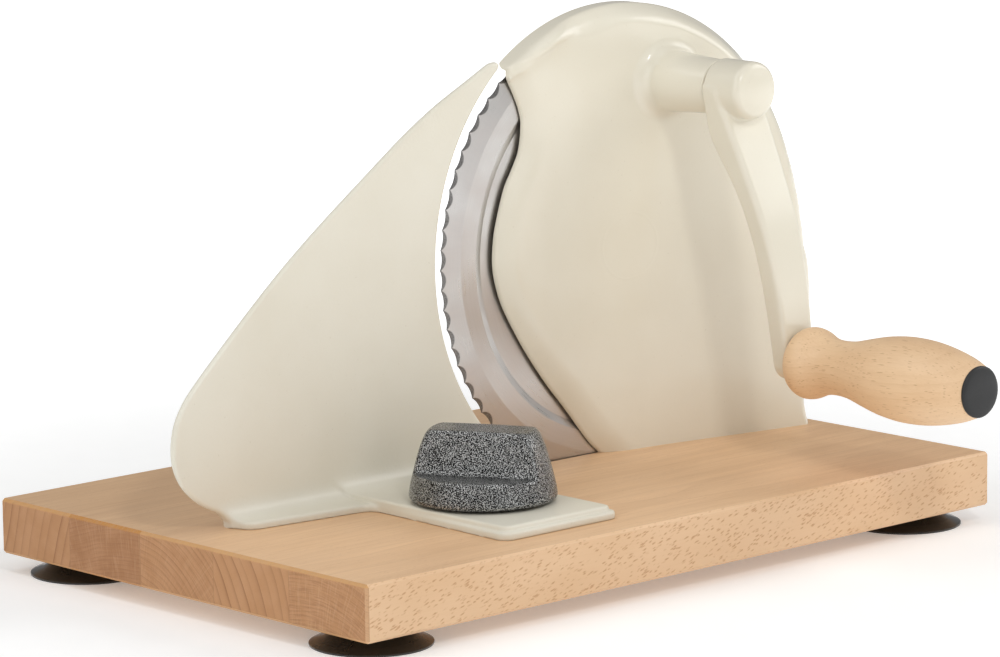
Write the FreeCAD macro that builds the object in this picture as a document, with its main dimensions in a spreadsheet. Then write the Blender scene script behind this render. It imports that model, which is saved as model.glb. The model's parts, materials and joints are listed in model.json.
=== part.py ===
import FreeCAD, Part
import Sketcher
import math
import os
from FreeCAD import Vector, Placement, Rotation

# Hand-cranked bread slicer on a beech board.
# Row frame: +X along the board towards the housing end, +Y away from the crank
# towards the loaf side, +Z up. The origin is at the middle of the footprint on the
# surface that the suction feet stand on. Lengths in millimetres.
#
# Most pieces are drawn in the "board frame": X = 0 and Y = 0 at the middle of the
# board, Z = 0 on its top face. Every object's Placement moves it to the row frame.

doc = FreeCAD.newDocument("bread_slicer")
sheet = doc.addObject("Spreadsheet::Sheet", "dims")

DIMS = [
    # board and feet
    ("board_length", 336.0), ("board_width", 217.0), ("board_thick", 22.0),
    ("board_chamfer", 1.1), ("foot_rise", 7.5), ("foot_radius", 23.2),
    ("foot_inset_x", 23.8), ("foot_inset_y", 25.0), ("foot_neck", 6.0),
    ("foot_peg", 9.0), ("row_shift_y", 28.5),
    ("slot_near", 4.4), ("slot_wide", 3.4), ("slot_left", 22.5), ("slot_right", 113.5),
    ("slot_deep", 12.5), ("rail_offset", 21.0), ("rail_wide", 8.4), ("rail_deep", 4.2),
    ("rail_front", -90.9), ("rail_back", -37.1),
    # blade and its drive
    ("blade_x", 68.0), ("blade_z", 84.7), ("blade_radius", 95.0), ("blade_near", 5.0),
    ("blade_thick", 1.2), ("blade_step", 0.8), ("step_outer", 77.0), ("step_inner", 74.0),
    ("blade_bore", 12.0), ("scallops", 74.0), ("scallop_depth", 0.9),
    ("gear_module", 1.5), ("gear_teeth", 70.0), ("pinion_teeth", 21.0),
    ("gear_near", 2.2), ("gear_tooth_far", 4.6), ("gear_far", 5.8), ("gear_bore", 8.5),
    ("axle_radius", 6.0), ("bush_bore", 6.05), ("blade_screw_circle", 30.0),
    # crank
    ("centre_angle", 75.0), ("centre_distance", 68.25), ("boss_end", -38.0),
    ("boss_base_radius", 12.6), ("boss_end_radius", 10.8), ("bush_outer", 8.0),
    ("shaft_radius", 6.0), ("arm_length", 110.2), ("arm_lean", 7.3),
    ("hub_radius", 11.6), ("hub_start", -38.9), ("hub_end", -58.5),
    ("arm_root_width", 22.0), ("arm_tip_width", 16.0), ("spindle_radius", 4.0),
    # handle
    ("grip_start", -69.5), ("grip_length", 93.5), ("cap_radius", 10.2), ("cap_rise", 2.2),
    ("sleeve_bore", 4.05), ("sleeve_outer", 5.5),
    # housing
    ("hood_radius", 98.0), ("hood_inner", 96.2), ("hood_far", 10.0), ("shell_back", 4.4),
    ("shell_wall", 2.0), ("nose_angle", 126.5),
    # stop plate
    ("plate_near", 1.8), ("plate_thick", 3.0), ("plate_arc_radius", 100.6),
    ("plate_arc_z", 86.1), ("tongue_low", 3.0), ("tongue_high", 5.0),
    ("travel", 15.0), ("knob_x", -54.0), ("knob_y", -46.9),
    # thickness knob
    ("knob_radius", 28.65), ("knob_base", 6.1), ("knob_top", 35.0), ("knob_ledge", 15.6),
    ("knob_top_radius", 21.0), ("cam_start", 9.0), ("cam_turn", 270.0), ("cam_width", 4.6),
    ("cam_deep", 4.6), ("bar_angle", -60.0), ("pin_radius", 2.0), ("pivot_radius", 4.0),
]
for row, (alias, value) in enumerate(DIMS, start=1):
    sheet.set("A%d" % row, alias)
    sheet.set("B%d" % row, repr(value))
    sheet.setAlias("B%d" % row, alias)
doc.recompute()


def D(alias):
    return float(sheet.get(alias))


ROW = Vector(0.0, D("row_shift_y"), D("foot_rise") + D("board_thick"))
NODES = {}


def at(x=0.0, y=0.0, z=0.0, rot=None):
    return Placement(Vector(x, y, z) + ROW, rot or Rotation())


ROT_Y_PLUS = Rotation(Vector(1, 0, 0), -90)   # local +Z runs to +Y
ROT_Y_MINUS = Rotation(Vector(1, 0, 0), 90)   # local +Z runs to -Y


def origin_plane(body, role):
    for f in body.Origin.OriginFeatures:
        if f.Role == role:
            return f
    raise ValueError(role)


def new_body(name):
    return doc.addObject("PartDesign::Body", name)


def new_sketch(body, name, role, offset=None):
    sk = body.newObject("Sketcher::SketchObject", name)
    sk.AttachmentSupport = [(origin_plane(body, role), "")]
    sk.MapMode = "FlatFace"
    if offset is not None:
        sk.AttachmentOffset = Placement(Vector(0, 0, offset), Rotation())
    return sk


def value_of(v):
    if isinstance(v, str):
        return eval_dim(v)
    return float(v)


def eval_dim(text):
    # a signed sum of aliases and numbers, such as "board_length/2 - 3"
    total, sign = 0.0, 1.0
    for tok in text.replace("+", " + ").replace("-", " - ").split():
        if tok == "+":
            sign = 1.0
        elif tok == "-":
            sign = -1.0
        else:
            num = 1.0
            parts = tok.split("/")
            try:
                num = float(parts[0])
            except ValueError:
                num = D(parts[0])
            if len(parts) == 2:
                num /= float(parts[1])
            total += sign * num
            sign = 1.0
    return total


def sheet_expr(text):
    out = []
    for tok in text.replace("+", " + ").replace("-", " - ").split():
        if tok in "+-":
            out.append(tok)
            continue
        parts = tok.split("/")
        try:
            float(parts[0])
            out.append(tok)
        except ValueError:
            out.append("dims." + tok)
    return " ".join(out)


def pin_point(sk, geo, pos, x, y):
    for kind, v, axis in (("DistanceX", x, -2), ("DistanceY", y, -1)):
        if not isinstance(v, str) and abs(v) < 1e-9:
            sk.addConstraint(Sketcher.Constraint("PointOnObject", geo, pos, axis))
            continue
        n = sk.addConstraint(Sketcher.Constraint(kind, -1, 1, geo, pos, value_of(v)))
        if isinstance(v, str):
            sk.setExpression("Constraints[%d]" % n, sheet_expr(v))


def polygon(sk, pts):
    first = sk.GeometryCount
    n = len(pts)
    num = [(value_of(a), value_of(b)) for a, b in pts]
    for i in range(n):
        a, b = num[i], num[(i + 1) % n]
        sk.addGeometry(Part.LineSegment(Vector(a[0], a[1], 0), Vector(b[0], b[1], 0)), False)
    for i in range(n):
        sk.addConstraint(Sketcher.Constraint("Coincident", first + i, 2, first + (i + 1) % n, 1))
    for i in range(n):
        pin_point(sk, first + i, 1, pts[i][0], pts[i][1])
    return first


def circle(sk, x, y, r):
    g = sk.addGeometry(Part.Circle(Vector(value_of(x), value_of(y), 0), Vector(0, 0, 1), value_of(r)), False)
    pin_point(sk, g, 3, x, y)
    n = sk.addConstraint(Sketcher.Constraint("Radius", g, value_of(r)))
    if isinstance(r, str):
        sk.setExpression("Constraints[%d]" % n, sheet_expr(r))
    return g


def curve(sk, pts):
    bs = Part.BSplineCurve()
    bs.interpolate([Vector(a, b, 0) for a, b in pts])
    return sk.addGeometry(bs, False)


def line(sk, a, b):
    return sk.addGeometry(Part.LineSegment(Vector(a[0], a[1], 0), Vector(b[0], b[1], 0)), False)


def pad(body, sk, name, length, reverse=False, midplane=False):
    f = body.newObject("PartDesign::Pad", name)
    f.Profile = sk
    if isinstance(length, str):
        f.Length = value_of(length)
        f.setExpression("Length", sheet_expr(length))
    else:
        f.Length = length
    f.Reversed = reverse
    f.Midplane = midplane
    doc.recompute()
    return f


def pocket(body, sk, name, length, reverse=False):
    before = body.Tip.Shape.Volume
    f = body.newObject("PartDesign::Pocket", name)
    f.Profile = sk
    if isinstance(length, str):
        f.Length = value_of(length)
        f.setExpression("Length", sheet_expr(length))
    else:
        f.Length = length
    f.Reversed = reverse
    doc.recompute()
    if not f.Shape.Volume < before - 0.01:
        raise RuntimeError("pocket %s removes nothing" % name)
    return f


def revolve(body, sk, name="Turned"):
    f = body.newObject("PartDesign::Revolution", name)
    f.Profile = sk
    f.ReferenceAxis = (sk, ["V_Axis"])
    f.Angle = 360.0
    doc.recompute()
    return f


def turned(name, pts, placement, groove=None):
    # a turned piece: (radius, height) corners about the local Z axis
    body = new_body(name)
    sk = new_sketch(body, name + "_profile", "XZ_Plane")
    polygon(sk, pts)
    revolve(body, sk)
    body.Label = name
    body.Placement = placement
    NODES[name] = body
    return body


def group(name, shapes):
    # identical pieces as separate solids in one node
    f = doc.addObject("Part::Feature", name)
    f.Shape = Part.makeCompound(shapes)
    f.Label = name
    NODES[name] = f
    return f


def feature(name, shape, placement=None):
    f = doc.addObject("Part::Feature", name)
    f.Shape = shape
    if placement is not None:
        f.Placement = placement
    f.Label = name
    NODES[name] = f
    return f


def cyl(r, p, q):
    a, b = Vector(*p), Vector(*q)
    return Part.makeCylinder(r, (b - a).Length, a, b - a)


def box(x0, x1, y0, y1, z0, z1):
    return Part.makeBox(x1 - x0, y1 - y0, z1 - z0, Vector(x0, y0, z0))


BX, BZ = D("blade_x"), D("blade_z")
CA = math.radians(D("centre_angle"))
CX = BX + D("centre_distance") * math.cos(CA)
CZ = BZ + D("centre_distance") * math.sin(CA)
LEAN = math.radians(D("arm_lean"))
HX = CX + D("arm_length") * math.sin(LEAN)
HZ = CZ - D("arm_length") * math.cos(LEAN)
KX, KY = D("knob_x"), D("knob_y")
FIX = [(104.0, -0.4), (128.0, -2.6), (149.5, -4.6)]       # housing screws, on the board
COVER_FIX = [(136.5, 8.5), (152.2, 25.5)]                # rear cover screws, (X, Z)

# ---------------------------------------------------------------- beech board
board = new_body("base_board")
sk = new_sketch(board, "board_outline", "XY_Plane")
polygon(sk, [("0 - board_length/2", "0 - board_width/2"), ("board_length/2", "0 - board_width/2"),
             ("board_length/2", "board_width/2"), ("0 - board_length/2", "board_width/2")])
slab = pad(board, sk, "slab", "board_thick", reverse=True)
ch = board.newObject("PartDesign::Chamfer", "edge_chamfer")
ch.Base = (slab, ["Edge%d" % (i + 1) for i in range(len(slab.Shape.Edges))])
ch.Size = D("board_chamfer")
ch.setExpression("Size", "dims.board_chamfer")
doc.recompute()
sk = new_sketch(board, "blade_slot_outline", "XY_Plane")
polygon(sk, [("slot_left", "slot_near"), ("slot_right", "slot_near"),
             ("slot_right", "slot_near + slot_wide"), ("slot_left", "slot_near + slot_wide")])
pocket(board, sk, "blade_slot", "slot_deep")
for tag, sign in (("left", "-"), ("right", "+")):
    sk = new_sketch(board, "rail_groove_%s" % tag, "XY_Plane")
    mid = "knob_x %s rail_offset" % sign
    lo, hi = mid + " - rail_wide/2", mid + " + rail_wide/2"
    polygon(sk, [(lo, "rail_front"), (hi, "rail_front"), (hi, "rail_back"), (lo, "rail_back")])
    pocket(board, sk, "guide_groove_%s" % tag, "rail_deep")
# holes: housing screws, knob pivot, foot pegs
sk = new_sketch(board, "through_holes", "XY_Plane")
for x, y in FIX:
    circle(sk, x, y, 2.7)
circle(sk, "knob_x", "knob_y", 6.0)
pocket(board, sk, "through_bores", "board_thick")
sk = new_sketch(board, "counterbores", "XY_Plane", offset=-D("board_thick"))
for x, y in FIX:
    circle(sk, x, y, 6.2)
circle(sk, "knob_x", "knob_y", 9.5)
pocket(board, sk, "counterbore_cut", 7.0, reverse=True)
FEET = [(sx * (D("board_length") / 2 - D("foot_inset_x")), sy * (D("board_width") / 2 - D("foot_inset_y")))
        for sx in (-1, 1) for sy in (-1, 1)]
sk = new_sketch(board, "foot_peg_holes", "XY_Plane", offset=-D("board_thick"))
for x, y in FEET:
    circle(sk, x, y, "foot_neck")
pocket(board, sk, "foot_sockets", "foot_peg", reverse=True)
board.Label = "base_board"
board.Placement = at()
NODES["base_board"] = board

# ---------------------------------------------------------------- suction feet
fr, rise, neck, peg = D("foot_radius"), D("foot_rise"), D("foot_neck"), D("foot_peg")
foot = new_body("suction_foot_pattern")
sk = new_sketch(foot, "cup_profile", "XZ_Plane")
polygon(sk, [(2.1, 3.4), (7.0, 3.2), (14.0, 2.1), (20.6, 0.0), (fr, 0.0), (fr, 0.7), (22.4, 1.1),
             (18.6, 2.5), (14.4, 5.0), (11.4, 7.0), (11.0, rise), (neck, rise), (neck, rise + peg),
             (2.1, rise + peg)])
revolve(foot, sk)
cup = foot.Shape.copy()
foot.Visibility = False


def placed(shape, x, y, z):
    s = shape.copy()
    s.Placement = Placement(Vector(x, y + D("row_shift_y"), z), Rotation())
    return s


group("suction_feet", [placed(cup, x, y, 0.0) for x, y in FEET])
washer = Part.makeCylinder(6.4, 0.5, Vector(0, 0, 2.78)).cut(Part.makeCylinder(2.1, 2, Vector(0, 0, 2)))
washer = washer.cut(cup)
group("foot_washers", [placed(washer, x, y, 0.0) for x, y in FEET])
screw = Part.makeCylinder(4.0, 1.7, Vector(0, 0, 1.08)).fuse(Part.makeCylinder(2.1, 14.2, Vector(0, 0, 2.0))).removeSplitter()
group("foot_screws", [placed(screw, x, y, 0.0) for x, y in FEET])

# ---------------------------------------------------------------- housing
# back outline: the round hood, then the flatter lower right side down to the board
HR = D("hood_radius")


def catmull(pts, n):
    out = []
    m = len(pts)
    for i in range(m - 1):
        p0, p1, p2, p3 = pts[max(i - 1, 0)], pts[i], pts[i + 1], pts[min(i + 2, m - 1)]
        for k in range(n):
            t = k / n
            out.append(tuple(0.5 * ((2 * p1[j]) + (-p0[j] + p2[j]) * t + (2 * p0[j] - 5 * p1[j] + 4 * p2[j] - p3[j]) * t * t
                                    + (-p0[j] + 3 * p1[j] - 3 * p2[j] + p3[j]) * t * t * t) for j in range(len(p1))))
    out.append(pts[-1])
    return out


# (angle or Z, crest inset, rim depth): how far the front face's edge lies inside the
# outline, and where the round wall ends
CREST = [(126.5, 2.6, 3.0), (123, 3.6, 3.0), (119, 5.0, 3.0), (112, 5.8, 2.8), (105, 5.6, 2.6), (90, 5.0, 2.2), (75, 6.0, 1.6), (60, 8.5, 1.0),
         (45, 12.5, 0.5), (37, 15.0, 0.1), (29, 16.2, 0.0), (20, 17.2, 0.0), (11, 16.6, -0.2), (2, 14.8, -1.5),
         (-6, 11.8, -4.0)]
LOWER = [(164.6, 68.0, 8.4, -8.0), (163.2, 57.5, 5.2, -10.0), (161.6, 46.0, 3.6, -11.0), (160.2, 32.0, 3.0, -11.5),
         (159.4, 20.0, 2.8, -11.5), (159.8, 9.0, 2.6, -12.0), (162.0, 0.0, 2.4, -12.0), (164.5, -8.0, 2.4, -12.0)]
RIM = []
for i in range(len(CREST) - 1):
    a0, a1 = CREST[i], CREST[i + 1]
    steps = max(2, int((a0[0] - a1[0]) / 1.5))
    for k in range(steps):
        t = k / steps
        a = math.radians(a0[0] + (a1[0] - a0[0]) * t)
        RIM.append((BX + HR * math.cos(a), BZ + HR * math.sin(a), a0[1] + (a1[1] - a0[1]) * t, a0[2] + (a1[2] - a0[2]) * t))
a = math.radians(CREST[-1][0])
LOW = catmull([(BX + HR * math.cos(a), BZ + HR * math.sin(a), CREST[-1][1], CREST[-1][2])] + LOWER, 8)
RIM += LOW
CREST_IN = [(126.5, 4.6, 3.0), (119, 5.6, 3.0), (105, 5.4, 2.6)] + CREST[6:]
RIM_IN = []
for i in range(len(CREST_IN) - 1):
    a0, a1 = CREST_IN[i], CREST_IN[i + 1]
    steps = max(2, int((a0[0] - a1[0]) / 1.5))
    for k in range(steps):
        t = k / steps
        a = math.radians(a0[0] + (a1[0] - a0[0]) * t)
        RIM_IN.append((BX + HR * math.cos(a), BZ + HR * math.sin(a), a0[1] + (a1[1] - a0[1]) * t, a0[2] + (a1[2] - a0[2]) * t))
RIM_IN += LOW
# left edge of the front face, from the board up to the nose
S_EDGE = [(62.5, -6.0), (56.8, 0.0), (50.5, 5.9), (38.9, 19.6), (26.3, 34.0), (15.0, 49.0), (4.9, 65.3), (0.7, 75.9), (-0.8, 84.1),
          (-0.4, 92.1), (1.1, 99.9), (5.6, 113.4), (10.0, 120.9), (13.9, 128.5), (15.3, 138.4), (14.2, 144.5),
          (11.5, 150.7), (8.6, 156.0)]
S_LINE = catmull(S_EDGE, 6)
# upper edge of the hollow under the nose's lip
LIP = catmull([(0.0, 161.0), (8.0, 161.8), (13.0, 162.4), (17.9, 163.6), (21.7, 165.0), (28.8, 167.6), (36.0, 170.8), (43.2, 173.6),
               (56.5, 176.6), (70.0, 178.0)], 4)


def nearest(pts, x, z):
    best, at_i = 1e18, 0
    for i, p in enumerate(pts):
        d = (p[0] - x) ** 2 + (p[1] - z) ** 2
        if d < best:
            best, at_i = d, i
    # refine on the two neighbouring segments
    res = (math.sqrt(best), at_i, 0.0, 1.0)
    for i in (at_i - 1, at_i):
        if i < 0 or i + 1 >= len(pts):
            continue
        ax, az, bx, bz = pts[i][0], pts[i][1], pts[i + 1][0], pts[i + 1][1]
        dx, dz = bx - ax, bz - az
        L2 = dx * dx + dz * dz
        t = max(0.0, min(1.0, ((x - ax) * dx + (z - az) * dz) / L2))
        d = math.hypot(x - ax - t * dx, z - az - t * dz)
        side = dx * (z - az) - dz * (x - ax)
        if d <= res[0] + 1e-9:
            res = (d, i, t, 1.0 if side > 0 else -1.0)
    return res


def smooth_min(a, b, k):
    q = max(k - abs(a - b), 0.0) / k
    return min(a, b) - q * q * k * 0.25


def smooth_max(a, b, k):
    return -smooth_min(-a, -b, k)


def front_y(x, z):
    # depth of the housing's front face; smaller is nearer to the crank
    face = smooth_min(-0.4, -2.6 - 0.185 * (x - BX) - 0.032 * (z - BZ), 5.0)
    # soft return towards the blade along the left edge
    d, i, t, side = nearest(S_LINE, x, z)
    s = d if side < 0 else -d
    if s < 11.0:
        q = 1.0 - max(s, -2.0) / 11.0
        face = face + (3.2 - face) * min(q * q, 1.35)
    # proud lip at the nose, with a wide hollow below it
    th = math.degrees(math.atan2(z - BZ, x - BX))
    fade = max(0.0, min(1.0, (th - 98.0) / 19.0))
    fade = fade * fade * (3 - 2 * fade)
    if fade > 0.0:
        d, i, t, side = nearest(LIP, x, z)
        d = d if side < 0 else -d
        w = max(0.0, min(1.0, 1.0 - max(d, 0.0) / 10.0)) ** 2.4
        if d < 1.2:
            w = min(w, 1.0 - max(d + 0.8, 0.0) ** 2 * 0.06)
        face = face + (-3.1 - face) * w * fade
    # sloping shoulder between the face and the round wall
    d, i, t, side = nearest(RIM, x, z)
    a, b = RIM[i], RIM[min(i + 1, len(RIM) - 1)]
    inset, rim = a[2] + (b[2] - a[2]) * t, a[3] + (b[3] - a[3]) * t
    e = d if side < 0 else -d
    ax, az = a[0] + (b[0] - a[0]) * t, a[1] + (b[1] - a[1]) * t
    k = max(0.0, min(1.0, (ax - 30.0) / 40.0))
    k = k * k * (3 - 2 * k)
    f2 = max(0.0, min(1.0, (math.degrees(math.atan2(az - BZ, ax - BX)) - 98.0) / 19.0))
    f2 = f2 * f2 * (3 - 2 * f2)
    crest = -0.6 + k * min(-2.0 - 0.185 * (ax - BX) - 0.032 * (az - BZ), 0.0) - 2.5 * f2
    slope = (rim - crest) / inset
    shoulder = rim - slope * max(e, -6.0)
    if e < 30.0:
        face = smooth_max(face, shoulder, 6.5 - 4.0 * f2)
    return face


def inside_y(x, z):
    # depth of the simpler surface that the inside of the wall follows
    face = smooth_min(-0.4, -2.6 - 0.185 * (x - BX) - 0.032 * (z - BZ), 5.0)
    # soft return towards the blade along the left edge
    d, i, t, side = nearest(S_LINE, x, z)
    s = d if side < 0 else -d
    if s < 11.0:
        q = 1.0 - max(s, -2.0) / 11.0
        face = face + (3.2 - face) * min(q * q, 1.35)
    # rounded lip at the nose
    rr = math.hypot(x - BX, z - BZ)
    th = math.degrees(math.atan2(z - BZ, x - BX))
    if th > 96.0:
        w = min(1.0, (th - 96.0) / 18.0)
        w = w * w * (3 - 2 * w)
        lip = 1.0 / (1.0 + math.exp(-(rr - 87.5) / 1.5))
        face = face + (-1.0 - face) * w * lip
    # sloping shoulder between the face and the round wall
    d, i, t, side = nearest(RIM_IN, x, z)
    a, b = RIM_IN[i], RIM_IN[min(i + 1, len(RIM_IN) - 1)]
    inset, rim = a[2] + (b[2] - a[2]) * t, a[3] + (b[3] - a[3]) * t
    e = d if side < 0 else -d
    crest = -2.6 - 0.185 * (a[0] - BX) - 0.032 * (a[1] - BZ) if a[0] > 50 else -0.6
    crest = min(crest, -0.6)
    slope = (rim - crest) / inset
    shoulder = rim - slope * max(e, -6.0)
    if e < 30.0:
        face = smooth_max(face, shoulder, 3.0)
    return face


NX, NZ = 54, 60
X0, X1, Z0, Z1 = -8.0, 172.0, -7.0, 190.0


def surface_of(fn):
    grid = []
    for i in range(NX):
        x = X0 + (X1 - X0) * i / (NX - 1)
        grid.append([Vector(x, fn(x, Z0 + (Z1 - Z0) * j / (NZ - 1)), Z0 + (Z1 - Z0) * j / (NZ - 1)) for j in range(NZ)])
    surf = Part.BSplineSurface()
    surf.interpolate(grid)
    return surf.toShape()


skin = surface_of(front_y)


def spline_edge(pts):
    bs = Part.BSplineCurve()
    bs.interpolate([Vector(p[0], 0, p[1]) for p in pts])
    return bs.toShape()


def arc_edge(cx, cz, r, a0, a1):
    am = 0.5 * (a0 + a1)
    p = [Vector(cx + r * math.cos(math.radians(a)), 0, cz + r * math.sin(math.radians(a))) for a in (a0, am, a1)]
    return Part.Arc(*p).toShape()


def seg(p, q):
    return Part.LineSegment(Vector(p[0], 0, p[1]), Vector(q[0], 0, q[1])).toShape()


def prism(edges, y0, y1):
    w = Part.Wire(Part.__sortEdges__(edges))
    f = Part.Face(w)
    f.translate(Vector(0, y0, 0))
    return f.extrude(Vector(0, y1 - y0, 0))


def on_circle(r, ang):
    return (BX + r * math.cos(math.radians(ang)), BZ + r * math.sin(math.radians(ang)))


low_pts = [p for p in LOW if p[1] > -6.0]
low_end = low_pts[-1]
nose = on_circle(HR, D("nose_angle"))
s_top = S_EDGE[-1]
edges = [arc_edge(BX, BZ, HR, D("nose_angle"), -6.0),
         spline_edge(low_pts[::3] + ([low_end] if (len(low_pts) - 1) % 3 else [])),
         seg((low_end[0], low_end[1]), (S_EDGE[0][0], S_EDGE[0][1])),
         spline_edge(S_EDGE),
         Part.Arc(Vector(s_top[0], 0, s_top[1]), Vector(7.4, 0, 160.2), Vector(nose[0], 0, nose[1])).toShape()]
outer = prism(edges, -45.0, D("shell_back")).common(skin.extrude(Vector(0, 60, 0)))
# hood rim around the blade
rim = cyl(HR, (BX, D("shell_back") - 0.6, BZ), (BX, D("hood_far"), BZ)).cut(
    cyl(D("hood_inner"), (BX, D("shell_back") - 0.7, BZ), (BX, D("hood_far") + 1, BZ)))
wedge = Part.Face(Part.makePolygon([Vector(BX, -50, BZ)] + [
    Vector(BX + 160 * math.cos(math.radians(t)), -50, BZ + 160 * math.sin(math.radians(t)))
    for t in (D("nose_angle"), 90, 45, 0, -35, -70)] + [Vector(BX, -50, BZ)])).extrude(Vector(0, 100, 0))
rim = rim.common(wedge)
nose_cap = cyl((HR - D("hood_inner")) / 2, (on_circle((HR + D("hood_inner")) / 2, D("nose_angle"))[0], D("shell_back") - 0.6,
                on_circle((HR + D("hood_inner")) / 2, D("nose_angle"))[1]),
               (on_circle((HR + D("hood_inner")) / 2, D("nose_angle"))[0], D("hood_far"), on_circle((HR + D("hood_inner")) / 2, D("nose_angle"))[1]))
# crank boss outside, and its flat end inside
boss = Part.makeCone(D("boss_base_radius"), D("boss_end_radius"), -6.0 - D("boss_end"), Vector(CX, -6.0, CZ), Vector(0, -1, 0))
# soft flare where the boss leaves the sloping face
face_y = front_y(CX, CZ)
normal = Vector(-0.185, -1.0, -0.032)
sections = []
for rise in (7.0, 5.5, 4.6, 3.6, 2.6, 1.6, 0.8, 0.2, -1.0):
    bend = max(0.0, 1.0 - max(rise, 0.0) / 5.5)
    radius = 12.2 + 5.2 * (1.0 - math.sqrt(max(0.0, 1.0 - bend * bend)))
    axis = Vector(0, -1, 0) + (normal - Vector(0, -1, 0)) * min(1.0, bend * 1.6)
    axis.normalize()
    centre = Vector(CX, face_y - rise, CZ)
    sections.append(Part.Wire(Part.Circle(centre, axis, radius).toShape()))
flare = Part.makeLoft(sections, True, False)
body_outer = outer.fuse(boss)
try:
    with_flare = body_outer.fuse(flare)
    if with_flare.isValid() and len(with_flare.Solids) == 1 and with_flare.Volume > body_outer.Volume:
        body_outer = with_flare
    else:
        print("boss flare left out")
except Exception as exc:
    print("boss flare left out:", exc)
body_outer = body_outer.fuse(rim).fuse(nose_cap)
# hollow for the gears, and the pocket in the lower right corner
inner_skin = surface_of(inside_y)
inner_skin.translate(Vector(0, D("shell_wall"), 0))
hollow = inner_skin.extrude(Vector(0, 60, 0)).common(cyl(95.8, (BX, -45, BZ), (BX, D("shell_back") + 0.1, BZ)))
hollow = hollow.common(box(-50, 220, -50, D("shell_back") + 0.05, -20, 220))
corner_edges = []
c_low = [(p[0] - 2.6, p[1]) for p in low_pts]
arc_hi, arc_lo = -24.5, -62.0
q_hi, q_lo = on_circle(98.4, arc_hi), on_circle(98.4, arc_lo)
c_line = [p for p in c_low if p[1] <= q_hi[1] + 0.01]
corner_edges = [arc_edge(BX, BZ, 98.4, arc_hi, arc_lo), seg(q_hi, (c_line[0][0], c_line[0][1])),
                spline_edge(c_line[::3] + ([c_line[-1]] if (len(c_line) - 1) % 3 else [])),
                seg((c_line[-1][0], c_line[-1][1]), q_lo)]
corner = prism(corner_edges, -45.0, D("shell_back") + 0.1).common(inner_skin.extrude(Vector(0, 60, 0)))
corner = corner.common(box(-50, 220, -50, D("shell_back") + 0.05, -20, 220))
shell = body_outer.cut(hollow).cut(corner)
# bosses: blade axle, crank, screw posts
shell = shell.fuse(cyl(13.5, (BX, -8, BZ), (BX, 0.6, BZ)).common(skin.extrude(Vector(0, 60, 0))))
shell = shell.fuse(cyl(11.2, (CX, -20, CZ), (CX, -3.5, CZ)))
for (x, y), r in zip(FIX, (3.9, 4.8, 5.4)):
    post = Part.makeCylinder(r, 26, Vector(x, y, -6)).fuse(box(x - 2.0, x + 2.0, y - 14.0, y, -6, 20))
    shell = shell.fuse(post.common(skin.extrude(Vector(0, 60, 0))))
for x, z in COVER_FIX:
    shell = shell.fuse(cyl(3.6, (x, -22, z), (x, D("shell_back") - 1.2, z)).common(skin.extrude(Vector(0, 60, 0))))
# ledge that the rear cover sits on is the pocket's own wall: recess 1.2 deep
cover_edges = [arc_edge(BX, BZ, 98.05, arc_hi + 1.4, arc_lo), ]
c_hi = on_circle(98.05, arc_hi + 1.4)
v_low = [(p[0] - 1.3, p[1]) for p in low_pts if p[1] <= c_hi[1] + 0.01]
cover_edges += [seg(c_hi, (v_low[0][0], v_low[0][1])),
                spline_edge(v_low[::3] + ([v_low[-1]] if (len(v_low) - 1) % 3 else [])),
                seg((v_low[-1][0], v_low[-1][1]), on_circle(98.05, arc_lo))]
cover_zone = prism(cover_edges, D("shell_back") - 1.2, D("shell_back") + 0.5)
shell = shell.cut(cover_zone)
# bores
shell = shell.cut(cyl(D("bush_outer"), (CX, D("boss_end") - 1, CZ), (CX, -2, CZ)))
shell = shell.cut(cyl(4.0, (BX, -1.2, BZ), (BX, 2, BZ)))
for x, y in FIX:
    shell = shell.cut(Part.makeCylinder(2.5, 17, Vector(x, y, -1)))
for x, z in COVER_FIX:
    shell = shell.cut(cyl(1.5, (x, -6, z), (x, 6, z)))
# the housing stands on the board
shell = shell.cut(box(-60, 230, -60, 60, -30, 0.0))
shell = shell.removeSplitter()
if len(shell.Solids) != 1:
    print("housing solids:", [round(s.Volume, 1) for s in shell.Solids])
shell = max(shell.Solids, key=lambda s: s.Volume)
feature("housing", shell, at())

cover = prism(cover_edges, D("shell_back") - 1.2, D("shell_back")).cut(box(-60, 230, -60, 60, -30, 0.3))
for x, z in COVER_FIX:
    cover = cover.cut(cyl(1.6, (x, 0, z), (x, 9, z)))
feature("rear_cover", cover, at())


def pan_screw(r_head, t_head, r_shank, length):
    # head sits below Z = 0, shank above it; local +Z is the driving direction
    h = Part.makeCylinder(r_head, t_head, Vector(0, 0, -t_head))
    slot = Part.makeBox(2.4 * r_head, 0.16 * r_head + 0.4, 0.45 * t_head, Vector(-1.2 * r_head, -0.08 * r_head - 0.2, -t_head))
    s = Part.makeCylinder(r_shank, length, Vector(0, 0, 0))
    return h.fuse(s).removeSplitter().cut(slot)


def put(shape, x, y, z, rot=None):
    s = shape.copy()
    s.Placement = at(x, y, z, rot)
    return s


group("rear_cover_screws", [put(pan_screw(2.8, 1.4, 1.5, 8.0), x, D("shell_back"), z, ROT_Y_MINUS) for x, z in COVER_FIX])
group("housing_screws", [put(pan_screw(4.6, 3.0, 2.5, 29.0), x, y, -16.2) for x, y in FIX])
ring = Part.makeCylinder(5.8, 1.2).cut(Part.makeCylinder(2.7, 2))
group("housing_washers", [put(ring, x, y, -16.2) for x, y in FIX])

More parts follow.
